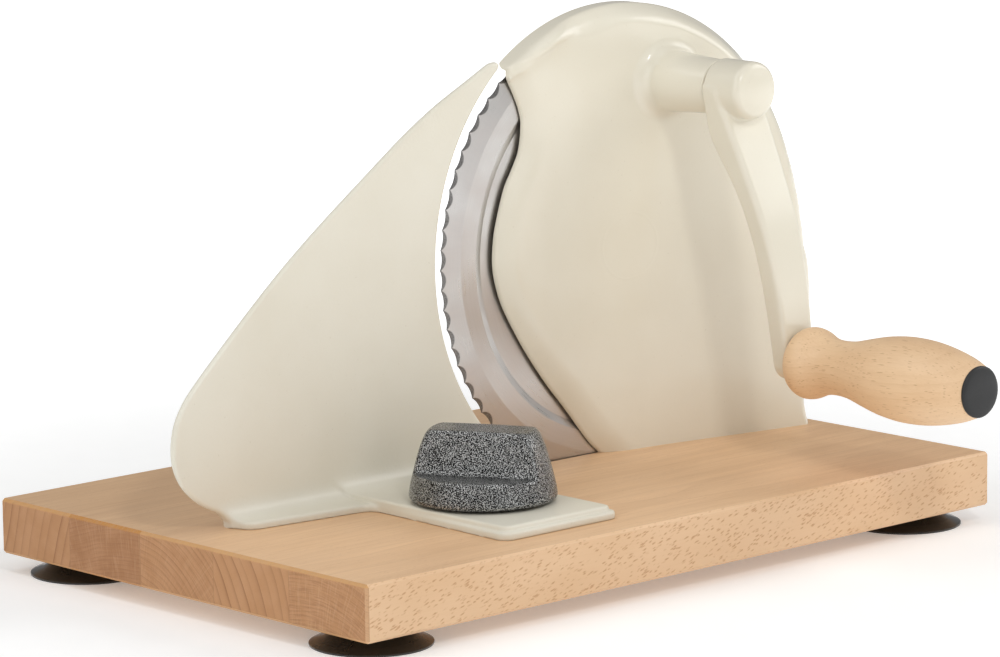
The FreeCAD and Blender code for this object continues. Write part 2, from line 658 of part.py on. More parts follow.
# ---------------------------------------------------------------- blade axle
turned("blade_axle", [(2.5, -1.2), (4.0, -1.2), (4.0, 0.6), (12.0, 0.6), (12.0, 1.8), ("axle_radius", 1.8),
                      ("axle_radius", 7.8), (2.5, 7.8)], at(BX, 0, BZ, ROT_Y_PLUS))
turned("axle_washer", [(2.55, 7.8), (10.0, 7.8), (10.0, 8.6), (2.55, 8.6)], at(BX, 0, BZ, ROT_Y_PLUS))
axle_screw = Part.makeCylinder(8.0, 1.0, Vector(0, 0, 8.6)).fuse(
    Part.makeCone(8.0, 5.6, 0.9, Vector(0, 0, 9.6))).fuse(Part.makeCylinder(2.5, 7.6, Vector(0, 0, 1.2)))
axle_screw = axle_screw.removeSplitter().cut(Part.makeBox(12.0, 1.8, 1.2, Vector(-6.0, -0.9, 9.6)))
feature("axle_screw", axle_screw, at(BX, 0, BZ, ROT_Y_PLUS))

# ---------------------------------------------------------------- blade
br, bn, bt, bs_ = D("blade_radius"), D("blade_near"), D("blade_thick"), D("blade_step")
prof = [(D("blade_bore"), bn + bs_), (D("step_inner"), bn + bs_), (D("step_outer"), bn), (85.0, bn), (br + 0.2, bn + bt - 0.3),
        (br + 0.2, bn + bt), (D("step_outer") + 0.4, bn + bt), (D("step_inner") + 0.4, bn + bt + bs_), (D("blade_bore"), bn + bt + bs_)]
poly = Part.makePolygon([Vector(r, 0, h) for r, h in prof] + [Vector(prof[0][0], 0, prof[0][1])])
disc = Part.Face(poly).revolve(Vector(0, 0, 0), Vector(0, 0, 1), 360)
n_sc = int(D("scallops"))
sc_edges = []
for k in range(n_sc):
    a0, a1 = 2 * math.pi * k / n_sc, 2 * math.pi * (k + 1) / n_sc
    am = 0.5 * (a0 + a1)
    rm = br - D("scallop_depth")
    sc_edges.append(Part.Arc(Vector(br * math.cos(a0), br * math.sin(a0), 0), Vector(rm * math.cos(am), rm * math.sin(am), 0),
                             Vector(br * math.cos(a1), br * math.sin(a1), 0)).toShape())
wave = Part.Face(Part.Wire(sc_edges)).extrude(Vector(0, 0, 20))
blade = disc.common(wave)
SC = D("blade_screw_circle")
for k in range(3):
    a = math.radians(90 + 120 * k)
    px, py = SC * math.cos(a), SC * math.sin(a)
    blade = blade.cut(Part.makeCylinder(2.05, 20, Vector(px, py, 0)))
    blade = blade.cut(Part.makeCone(2.05, 4.0, 1.2, Vector(px, py, bn + bt + bs_ - 1.2)))
feature("blade", max(blade.Solids, key=lambda s: s.Volume), at(BX, 0, BZ, ROT_Y_PLUS))
sc = []
for k in range(3):
    a = math.radians(90 + 120 * k)
    px, py = SC * math.cos(a), SC * math.sin(a)
    one = Part.makeCone(2.0, 3.95, 1.15, Vector(0, 0, bn + bt + bs_ - 1.17)).fuse(Part.makeCylinder(2.0, 3.4, Vector(0, 0, 2.6)))
    one = one.removeSplitter().cut(Part.makeBox(8, 0.8, 0.6, Vector(-4, -0.4, bn + bt + bs_ - 0.6)))
    one.translate(Vector(px, py, 0))
    one.Placement = at(BX, 0, BZ, ROT_Y_PLUS).multiply(one.Placement)
    sc.append(one)
group("blade_screws", sc)


# ---------------------------------------------------------------- gears
def involute_gear(teeth, module, y0, y1, bore, phase, thin=0.09):
    rp = teeth * module / 2.0
    pa = math.radians(20.0)
    rb = rp * math.cos(pa)
    ra, rf = rp + module, rp - 1.25 * module
    half = (math.pi * module / 2.0 - 2 * thin) / (2.0 * rp)
    inv_p = math.tan(pa) - pa
    pts = []
    for k in range(teeth):
        c = phase + 2 * math.pi * k / teeth
        flank = []
        r_lo = max(rb, rf)
        for j in range(5):
            r = r_lo + (ra - r_lo) * j / 4.0
            al = math.acos(min(1.0, rb / r))
            flank.append((r, half + inv_p - (math.tan(al) - al)))
        left = [(rf, flank[0][1] + 0.002)] if rf < rb - 1e-6 else []
        for r, w in left + flank:
            pts.append((r * math.cos(c - w), r * math.sin(c - w)))
        for r, w in reversed(left + flank):
            pts.append((r * math.cos(c + w), r * math.sin(c + w)))
    w = Part.makePolygon([Vector(x, y, y0) for x, y in pts] + [Vector(pts[0][0], pts[0][1], y0)])
    g = Part.Face(w).extrude(Vector(0, 0, y1 - y0))
    return g.cut(Part.makeCylinder(bore, (y1 - y0) + 2, Vector(0, 0, y0 - 1)))


mod = D("gear_module")
# local axes for pieces turned with ROT_Y_PLUS: local X = X, local Y = -Z
ang = -CA
gear = involute_gear(int(D("gear_teeth")), mod, D("gear_near"), D("gear_tooth_far"), D("gear_bore"), ang)
web = Part.makeCylinder(46.0, D("gear_far") - D("gear_near"), Vector(0, 0, D("gear_near"))).fuse(
    Part.makeCylinder(D("blade_bore") - 0.05, bn + bt + bs_ - D("gear_near"), Vector(0, 0, D("gear_near"))))
web = web.cut(Part.makeCylinder(D("gear_bore"), 20, Vector(0, 0, 0)))
gear = gear.fuse(web).removeSplitter()
for k in range(3):
    a = math.radians(90 + 120 * k)
    gear = gear.cut(Part.makeCylinder(2.0, 3.5, Vector(SC * math.cos(a), SC * math.sin(a), 2.6)))
for k in range(3):
    a = math.radians(30 + 120 * k)
    gear = gear.cut(Part.makeCylinder(9.0, 20, Vector(30.0 * math.cos(a), 30.0 * math.sin(a), 0)))
gear = gear.cut(Part.makeCylinder(14.0, 0.6, Vector(0, 0, D("gear_near") - 0.1)))
feature("blade_gear", max(gear.Solids, key=lambda s: s.Volume), at(BX, 0, BZ, ROT_Y_PLUS))
turned("gear_bush", [("bush_bore", 2.7), ("gear_bore", 2.7), ("gear_bore", 7.0), (10.6, 7.0), (10.6, 7.55), ("bush_bore", 7.55)],
       at(BX, 0, BZ, ROT_Y_PLUS))

pt = int(D("pinion_teeth"))
pin_phase = ang + math.pi + math.pi / pt
pinion = involute_gear(pt, mod, 1.3, D("gear_tooth_far"), D("shaft_radius"), pin_phase)
pinion = pinion.fuse(Part.makeCylinder(10.0, 4.1, Vector(0, 0, -2.8)).cut(Part.makeCylinder(D("shaft_radius"), 20, Vector(0, 0, -8))))
pinion = pinion.removeSplitter().cut(cyl(1.5, (-12, 0, -0.8), (12, 0, -0.8)))
feature("crank_pinion", max(pinion.Solids, key=lambda s: s.Volume), at(CX, 0, CZ, ROT_Y_PLUS))
shaft = Part.makeCylinder(D("shaft_radius"), 56.4, Vector(0, 0, -52.0))
shaft = shaft.cut(cyl(1.5, (-12, 0, -0.8), (12, 0, -0.8)))
feature("crank_shaft", shaft, at(CX, 0, CZ, ROT_Y_PLUS))
feature("pinion_pin", cyl(1.5, (-9.9, 0, -0.8), (9.9, 0, -0.8)), at(CX, 0, CZ, ROT_Y_PLUS))
turned("shaft_bush_inner", [(6.05, -19.0), ("bush_outer", -19.0), ("bush_outer", -3.5), (10.4, -3.5), (10.4, -3.1), (6.05, -3.1)],
       at(CX, 0, CZ, ROT_Y_PLUS))
turned("shaft_bush_outer", [(6.05, -38.0), ("bush_outer", -38.0), ("bush_outer", -23.0), (6.05, -23.0)], at(CX, 0, CZ, ROT_Y_PLUS))
turned("crank_washer", [(6.02, -38.9), (10.4, -38.9), (10.4, -38.3), (6.02, -38.3)], at(CX, 0, CZ, ROT_Y_PLUS))

# ---------------------------------------------------------------- crank arm
# drawn with the hub axis on the local Y axis and the arm hanging along local -Z
front = [(9.0, -50.4), (14.0, -52.8), (20.8, -55.7), (34.7, -60.6), (47.8, -64.3), (59.4, -66.5), (74.8, -68.0), (90.0, -68.6), (121.0, -68.7)]
back = [(121.0, -60.6), (100.0, -60.4), (85.0, -59.9), (70.0, -58.6), (58.0, -56.6), (46.0, -53.4), (35.0, -48.9), (25.0, -43.6), (17.0, -40.2), (9.0, -39.0)]


def yz_spline(pts):
    bs = Part.BSplineCurve()
    bs.interpolate([Vector(0, y, -s) for s, y in pts])
    return bs.toShape()


def yz_seg(p, q):
    return Part.LineSegment(Vector(0, p[1], -p[0]), Vector(0, q[1], -q[0])).toShape()


side = Part.Face(Part.Wire(Part.__sortEdges__([yz_spline(front), yz_seg(front[-1], back[0]), yz_spline(back), yz_seg(back[-1], (0.0, -39.0)),
                                               yz_seg((0.0, -39.0), (0.0, -49.0)), yz_seg((0.0, -49.0), front[0])])))
side.translate(Vector(-20, 0, 0))
side = side.extrude(Vector(40, 0, 0))
wr, wt, al = D("arm_root_width") / 2, D("arm_tip_width") / 2, D("arm_length")
plan = Part.Face(Part.Wire(Part.__sortEdges__([
    Part.LineSegment(Vector(-wr, 0, 0), Vector(wr, 0, 0)).toShape(),
    Part.LineSegment(Vector(wr, 0, 0), Vector(wt, 0, -al)).toShape(),
    Part.Arc(Vector(wt, 0, -al), Vector(0, 0, -al - wt), Vector(-wt, 0, -al)).toShape(),
    Part.LineSegment(Vector(-wt, 0, -al), Vector(-wr, 0, 0)).toShape()])))
plan.translate(Vector(0, -90, 0))
plan = plan.extrude(Vector(0, 90, 0))
arm = side.common(plan)
try:
    long_edges = []
    for e in arm.Edges:
        b = e.BoundBox
        if b.ZLength > 40 or (b.ZMax < -al + 2 and b.ZLength > 3 and b.YLength < 3 and b.XLength > 8):
            long_edges.append(e)
    arm = arm.makeFillet(2.4, long_edges)
    print("arm fillet on", len(long_edges), "edges")
except Exception as exc:
    print("arm fillet left out:", exc)
hr = D("hub_radius")
hub_prof = [(0, -38.9), (hr - 0.6, -38.9), (hr, -39.5), (hr, -53.6)]
he = D("hub_end")
corner = Part.Arc(Vector(hr, 0, -53.6), Vector(hr - 0.8, 0, he + 2.3), Vector(hr - 2.8, 0, he + 1.2)).toShape()
dr = ((hr - 2.8) ** 2 + 1.2 ** 2) / 2.4
dome = Part.Arc(Vector(hr - 2.8, 0, he + 1.2), Vector(4.6, 0, he + dr - math.sqrt(dr ** 2 - 4.6 ** 2)), Vector(0, 0, he)).toShape()
hub_w = Part.Wire([Part.LineSegment(Vector(a[0], 0, a[1]), Vector(b[0], 0, b[1])).toShape() for a, b in zip(hub_prof, hub_prof[1:])]
                  + [corner, dome, Part.LineSegment(Vector(0, 0, he), Vector(0, 0, -38.9)).toShape()])
hub = Part.Face(hub_w).revolve(Vector(0, 0, 0), Vector(0, 0, 1), 360)
hub.Placement = Placement(Vector(0, 0, 0), ROT_Y_PLUS)
arm = arm.fuse(hub)
arm = arm.cut(cyl(D("shaft_radius"), (0, -52.0, 0), (0, -30, 0)))
arm = arm.cut(cyl(D("spindle_radius"), (0, -75, -al), (0, -50, -al)))
arm = arm.cut(cyl(2.0, (0, -45.0, 0), (30, -45.0, 0)))
arm = max(arm.removeSplitter().Solids, key=lambda s: s.Volume)
arm_rot = Rotation(Vector(0, 1, 0), -D("arm_lean"))
feature("crank_arm", arm, at(CX, 0, CZ, arm_rot))
grub = cyl(2.0, (6.0, -45.0, 0), (11.6, -45.0, 0)).cut(cyl(1.0, (9.6, -45.0, 0), (12, -45.0, 0)))
feature("hub_grub_screw", grub, at(CX, 0, CZ, arm_rot))

# ---------------------------------------------------------------- handle
g0 = -D("grip_start")
spindle = [(0, g0 - 9.0), ("spindle_radius", g0 - 9.0), ("spindle_radius", g0 + 78.6), (7.4, g0 + 78.6), (7.4, g0 + 81.2), (6.0, g0 + 82.2), (0, g0 + 82.2)]
turned("handle_spindle", spindle, at(HX, 0, HZ, ROT_Y_MINUS))
turned("handle_washer", [(4.05, g0 - 0.55), (9.2, g0 - 0.55), (9.2, g0 - 0.15), (4.05, g0 - 0.15)], at(HX, 0, HZ, ROT_Y_MINUS))
turned("handle_sleeve", [("sleeve_bore", g0 + 0.2), ("sleeve_outer", g0 + 0.2), ("sleeve_outer", g0 + 78.2), ("sleeve_bore", g0 + 78.2)],
       at(HX, 0, HZ, ROT_Y_MINUS))
GRIP = [(0.6, 12.2), (2.2, 13.6), (5.2, 14.5), (8.8, 14.0), (13.0, 12.3), (17.0, 11.2), (21.0, 10.9), (25.0, 11.1), (30.0, 11.9), (38.0, 13.9),
        (46.0, 15.7), (54.0, 16.75), (60.0, 17.0), (67.0, 16.75), (74.0, 15.9), (81.0, 14.5), (87.0, 12.9), (91.5, 11.2), (93.5, 10.2)]
grip = new_body("handle_grip")
sk = new_sketch(grip, "grip_profile", "XZ_Plane")
gl = g0 + D("grip_length")
curve(sk, [(r, g0 + s_) for s_, r in GRIP])
pp = [(GRIP[-1][1], g0 + GRIP[-1][0]), (8.4, gl), (8.4, g0 + 78.2), (D("sleeve_outer"), g0 + 78.2), (D("sleeve_outer"), g0), (11.4, g0), (12.2, g0 + 0.6)]
for a, b in zip(pp, pp[1:]):
    line(sk, a, b)
revolve(grip, sk)
grip.Label = "handle_grip"
grip.Placement = at(HX, 0, HZ, ROT_Y_MINUS)
NODES["handle_grip"] = grip
cr = D("cap_radius")
cap = new_body("handle_cap")
sk = new_sketch(cap, "cap_profile", "XZ_Plane")
curve(sk, [(cr, gl), (cr - 0.25, gl + 0.7), (cr - 1.6, gl + 1.3), (5.5, gl + 1.9), (0.0, gl + D("cap_rise"))])
pp = [(0.0, gl + D("cap_rise")), (0.0, gl - 1.0), (6.6, gl - 1.0), (6.6, gl - 7.0), (8.4, gl - 7.0), (8.4, gl), (cr, gl)]
for a, b in zip(pp, pp[1:]):
    line(sk, a, b)
revolve(cap, sk)
cap.Label = "handle_cap"
cap.Placement = at(HX, 0, HZ, ROT_Y_MINUS)
NODES["handle_cap"] = cap

# ---------------------------------------------------------------- stop plate
PLATE = [(-3.2, 164.4), (-16.5, 157.8), (-30.3, 151.0), (-42.0, 144.2), (-52.4, 137.5), (-71.6, 124.2), (-90.7, 110.8), (-108.5, 97.4),
         (-124.6, 84.0), (-139.8, 70.5), (-154.3, 57.1), (-160.6, 50.2), (-164.6, 43.3), (-166.4, 35.9), (-166.3, 28.6), (-164.5, 22.8),
         (-161.3, 17.6), (-156.2, 12.6), (-150.0, 8.6), (-143.8, 5.8), (-139.0, 3.4)]
pn, ptk = D("plate_near"), D("plate_thick")
AR, AZ = D("plate_arc_radius"), D("plate_arc_z")
a_top = math.degrees(math.atan2(160.6 - AZ, -math.sqrt(AR ** 2 - (160.6 - AZ) ** 2)))
a_bot = math.degrees(math.atan2(0 - AZ, -math.sqrt(AR ** 2 - AZ ** 2)))
p_top = (BX + AR * math.cos(math.radians(a_top)), AZ + AR * math.sin(math.radians(a_top)))
p_bot = (BX + AR * math.cos(math.radians(a_bot)), AZ + AR * math.sin(math.radians(a_bot)))
sail = prism([spline_edge(PLATE), seg(PLATE[-1], (-139.0, 0.0)), seg((-139.0, 0.0), p_bot),
              arc_edge(BX, AZ, AR, a_bot + 360.0, a_top),
              Part.Arc(Vector(p_top[0], 0, p_top[1]), Vector(p_top[0] + 0.15, 0, 164.2), Vector(PLATE[0][0], 0, PLATE[0][1])).toShape()],
             pn, pn + ptk)

def xy_face(pts, z0, z1, radius=None):
    w = Part.makePolygon([Vector(x, y, z0) for x, y in pts] + [Vector(pts[0][0], pts[0][1], z0)])
    s = Part.Face(w).extrude(Vector(0, 0, z1 - z0))
    if radius:
        for r in sorted(set(r for _, r in radius)):
            s_edges = []
            for e in s.Edges:
                if e.BoundBox.ZLength > (z1 - z0) * 0.9:
                    c = e.CenterOfMass
                    if any(rr == r and math.hypot(c.x - x, c.y - y) < 0.5 for (x, y), rr in radius):
                        s_edges.append(e)
            if s_edges:
                s = s.makeFillet(r, s_edges)
    return s


zl, zh = D("tongue_low"), D("tongue_high")
far_y = pn + ptk
# flange with the tongue: lower step
low = [(-139.0, far_y), (-139.0, -8.0), (-82.0, -14.5), (-84.4, -91.9), (-24.2, -91.9), (-26.6, -14.5), (8.0, -12.0), (8.0, far_y)]
flange = xy_face(low, 0.0, zl, [((-139.0, -8.0), 5.0), ((-82.0, -14.5), 7.0), ((-84.4, -91.9), 5.0), ((-24.2, -91.9), 5.0),
                                ((-26.6, -14.5), 7.0), ((8.0, -12.0), 5.0)])
high = [(-82.4, pn + 1.0), (-82.3, -10.0), (-82.2, -89.7), (-26.4, -89.7), (-26.3, -10.0), (-26.2, pn + 1.0)]
step = xy_face(high, zl - 0.5, zh, [((-82.2, -89.7), 3.4), ((-26.4, -89.7), 3.4)])
try:
    step = step.makeFillet(0.9, [e for e in step.Edges if e.BoundBox.ZMin > zh - 0.01 and e.BoundBox.YMax < pn])
except Exception as exc:
    print("step rounding left out:", exc)
try:
    flange = flange.makeFillet(0.9, [e for e in flange.Edges if e.BoundBox.ZMin > zl - 0.01 and e.BoundBox.YMin < pn - 1])
except Exception as exc:
    print("flange rounding left out:", exc)
# one casting: sail and flange with a concave fillet between them, then the tongue's upper step
fr_ = 6.0
q45 = fr_ * (1.0 - math.sqrt(0.5))
fil = Part.Face(Part.Wire([
    Part.LineSegment(Vector(-138.9, pn - fr_, zl), Vector(-138.9, pn - fr_, zl - 1.0)).toShape(),
    Part.LineSegment(Vector(-138.9, pn - fr_, zl - 1.0), Vector(-138.9, pn + 1.0, zl - 1.0)).toShape(),
    Part.LineSegment(Vector(-138.9, pn + 1.0, zl - 1.0), Vector(-138.9, pn + 1.0, zl + fr_)).toShape(),
    Part.LineSegment(Vector(-138.9, pn + 1.0, zl + fr_), Vector(-138.9, pn, zl + fr_)).toShape(),
    Part.Arc(Vector(-138.9, pn, zl + fr_), Vector(-138.9, pn - q45, zl + q45), Vector(-138.9, pn - fr_, zl)).toShape()])).extrude(Vector(146.8, 0, 0))
plate = sail.fuse(flange).fuse(fil).removeSplitter()
plate = plate.fuse(step)
for sx in (-1, 1):
    xk = KX + sx * D("rail_offset")
    plate = plate.fuse(box(xk - 4.0, xk + 4.0, -75.0, -38.0, -3.8, 0.5))
plate = plate.cut(box(KX - 4.4, KX + 4.4, KY, KY + D("travel"), -1, 9)).cut(
    Part.makeCylinder(4.4, 12, Vector(KX, KY, -2))).cut(Part.makeCylinder(4.4, 12, Vector(KX, KY + D("travel"), -2)))
plate = plate.cut(Part.makeCylinder(D("pin_radius"), 12, Vector(KX, KY - D("cam_start"), -2)))
# the arc edge of the foot follows the sail's arc
plate = plate.cut(cyl(AR, (BX, -30, AZ), (BX, 30, AZ)))
plate = plate.removeSplitter()
if len(plate.Solids) != 1:
    print("plate solids:", [round(s.Volume, 1) for s in plate.Solids])
feature("stop_plate", max(plate.Solids, key=lambda s: s.Volume), at())
feature("cam_pin", Part.makeCylinder(D("pin_radius"), 10.0, Vector(KX, KY - D("cam_start"), 0.3)), at())

# ---------------------------------------------------------------- thickness knob
kb, kt, kl = D("knob_base"), D("knob_top"), D("knob_ledge")
kr, ktr = D("knob_radius"), D("knob_top_radius")
knob = new_body("knob_blank")
sk = new_sketch(knob, "knob_profile", "XZ_Plane")
curve(sk, [(kr, kb + 1.0), (kr - 0.35, kb + 4.0), (kr - 1.6, kl), (kr - 4.2, kb + 19.0), (ktr + 1.1, kt - 3.2), (ktr - 0.4, kt - 1.2), (ktr - 3.0, kt - 0.2)])
pp = [(ktr - 3.0, kt - 0.2), (0.0, kt + 0.0), (0.0, kb), (kr - 1.0, kb), (kr, kb + 1.0)]
for a, b in zip(pp, pp[1:]):
    line(sk, a, b)
revolve(knob, sk)
blank = knob.Shape.copy()
# two side cuts leave the grip bar; it points along the local X axis
grip_half = 9.5
for sgn in (-1, 1):
    tool = Part.Face(Part.makePolygon([Vector(-40, sgn * (grip_half - 1.6), kt + 5), Vector(-40, sgn * (grip_half + 1.0), kl + 2.2),
                                       Vector(-40, sgn * (grip_half + 3.2), kl + 0.2), Vector(-40, sgn * 40, kl - 1.2),
                                       Vector(-40, sgn * 40, kt + 5), Vector(-40, sgn * (grip_half - 1.6), kt + 5)])).extrude(Vector(80, 0, 0))
    blank = blank.cut(tool)
try:
    soft = [e for e in blank.Edges if e.BoundBox.ZMin > kl + 3 and e.Length > 8]
    blank = blank.makeFillet(1.4, soft)
    print("knob fillet on", len(soft), "edges")
except Exception as exc:
    print("knob fillet left out:", exc)
blank.rotate(Vector(0, 0, 0), Vector(0, 0, 1), D("bar_angle"))
# spiral groove in the underside: radius grows with the angle
w2 = D("cam_width") / 2
turns, r0, dr = D("cam_turn"), D("cam_start"), D("travel")
inner_c, outer_c = [], []
N = 28
for k in range(N + 1):
    f = turns * k / N
    a = math.radians(-90.0 - f)
    rc = r0 + dr * f / turns
    inner_c.append(Vector((rc - w2) * math.cos(a), (rc - w2) * math.sin(a), kb - 0.5))
    outer_c.append(Vector((rc + w2) * math.cos(a), (rc + w2) * math.sin(a), kb - 0.5))
b1, b2 = Part.BSplineCurve(), Part.BSplineCurve()
b1.interpolate(inner_c)
b2.interpolate(outer_c)
ends = [Part.LineSegment(inner_c[0], outer_c[0]).toShape(), Part.LineSegment(inner_c[-1], outer_c[-1]).toShape()]
track = Part.Face(Part.Wire(Part.__sortEdges__([b1.toShape(), ends[0], b2.toShape(), ends[1]]))).extrude(Vector(0, 0, D("cam_deep") + 0.5))
for k, f in ((0, 0.0), (N, turns)):
    a = math.radians(-90.0 - f)
    rc = r0 + dr * f / turns
    track = track.fuse(Part.makeCylinder(w2, D("cam_deep") + 0.5, Vector(rc * math.cos(a), rc * math.sin(a), kb - 0.5)))
blank = blank.cut(track)
blank = blank.fuse(Part.makeCylinder(6.2, 1.6, Vector(0, 0, 5.1)))
blank = blank.cut(Part.makeCylinder(5.6, 16.0, Vector(0, 0, 5.0)))
blank = max(blank.removeSplitter().Solids, key=lambda s: s.Volume)
feature("thickness_knob", blank, at(KX, KY, 0))
turned("knob_insert", [("pivot_radius", 5.1), (5.6, 5.1), (5.6, 21.0), ("pivot_radius", 21.0)], at(KX, KY, 0))
hexa = Part.Face(Part.makePolygon([Vector(7.5 * math.cos(math.radians(60 * k)), 7.5 * math.sin(math.radians(60 * k)), -20.9)
                                   for k in range(7)])).extrude(Vector(0, 0, 3.5))
bolt = Part.makeCylinder(4.0, 38.0, Vector(0, 0, -17.5)).fuse(hexa).removeSplitter()
feature("knob_bolt", bolt, at(KX, KY, 0))
turned("pivot_bush", [(4.05, -14.9), (6.0, -14.9), (6.0, -0.3), (4.05, -0.3)], at(KX, KY, 0))
turned("pivot_washer", [(4.1, -15.9), (8.6, -15.9), (8.6, -15.0), (4.1, -15.0)], at(KX, KY, 0))
sw = Part.makeCylinder(7.2, 1.5, Vector(0, 0, -17.4)).cut(Part.makeCylinder(4.4, 3, Vector(0, 0, -18))).cut(box(4.0, 8.0, -0.5, 0.5, -18, -15))
feature("pivot_spring_washer", sw, at(KX, KY, 0))

# ---------------------------------------------------------------- checks and export
doc.recompute()
bad = []
for obj in doc.Objects:
    if any(s in ("Invalid", "Error") for s in obj.State):
        bad.append((obj.Name, obj.State))
for name, obj in NODES.items():
    s = obj.Shape
    if s.isNull() or not s.isValid() or not s.Solids:
        bad.append((name, "shape null, invalid or without a solid"))
if bad:
    raise RuntimeError("failed objects: %r" % bad)
os.makedirs("parts", exist_ok=True)
for name, obj in NODES.items():
    obj.Shape.exportStep(os.path.join("parts", name + ".step"))
    b = obj.Shape.BoundBox
    print("%-22s solids %d  vol %9.1f  box %.1f..%.1f  %.1f..%.1f  %.1f..%.1f" % (
        name, len(obj.Shape.Solids), obj.Shape.Volume, b.XMin, b.XMax, b.YMin, b.YMax, b.ZMin, b.ZMax))
print("nodes", len(NODES))
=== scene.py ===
import json
import math
import bpy
import bmesh
import numpy as np
from mathutils import Vector, Matrix


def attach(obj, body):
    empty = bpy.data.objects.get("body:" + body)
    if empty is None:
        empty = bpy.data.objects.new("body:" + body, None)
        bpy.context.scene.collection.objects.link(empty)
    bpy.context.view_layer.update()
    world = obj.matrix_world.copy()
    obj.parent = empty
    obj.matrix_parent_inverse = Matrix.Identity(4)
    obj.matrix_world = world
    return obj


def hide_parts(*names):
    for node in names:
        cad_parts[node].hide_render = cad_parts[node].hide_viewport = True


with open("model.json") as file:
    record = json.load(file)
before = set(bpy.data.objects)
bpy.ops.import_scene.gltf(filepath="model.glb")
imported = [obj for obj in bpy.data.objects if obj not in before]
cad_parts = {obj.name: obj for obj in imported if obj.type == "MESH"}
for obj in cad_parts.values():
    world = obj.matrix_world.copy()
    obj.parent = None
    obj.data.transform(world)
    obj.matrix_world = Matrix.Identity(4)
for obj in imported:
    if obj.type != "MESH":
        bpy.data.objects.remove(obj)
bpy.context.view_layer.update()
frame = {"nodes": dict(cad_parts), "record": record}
NODES = frame["nodes"]
scene = bpy.context.scene

# Lengths below are in millimetres in the board frame: X and Y from the middle of the board,
# Z from its top face. OFF moves them to the row frame.
OFF = np.array([0.0, 28.5, 29.5])
MM = 0.001


def row(x, y, z):
    return Vector(((x + OFF[0]) * MM, (y + OFF[1]) * MM, (z + OFF[2]) * MM))


# ------------------------------------------------------------------ camera
def camera():
    az, el, roll = math.radians(-42.731), math.radians(10.086), math.radians(-0.649)
    tx, ty, dist, f = -1.595, 79.554, 1972.97, 4941.4
    back = Vector((math.sin(az) * math.cos(el), -math.cos(az) * math.cos(el), math.sin(el)))
    right = Vector((math.cos(az), math.sin(az), 0.0))
    up = back.cross(right)
    r2 = right * math.cos(roll) + up * math.sin(roll)
    u2 = -right * math.sin(roll) + up * math.cos(roll)
    data = bpy.data.cameras.new("camera")
    data.sensor_width = 36.0
    data.lens = f * 36.0 / 1000.0
    data.clip_start, data.clip_end = 0.05, 50.0
    cam = bpy.data.objects.new("camera", data)
    scene.collection.objects.link(cam)
    pos = (r2 * tx + u2 * ty + back * dist) * MM + Vector((0.0, OFF[1] * MM, 7.7 * MM))
    m = Matrix.Identity(4)
    for i in range(3):
        m[i][0], m[i][1], m[i][2], m[i][3] = r2[i], u2[i], back[i], pos[i]
    cam.matrix_world = m
    scene.camera = cam


camera()


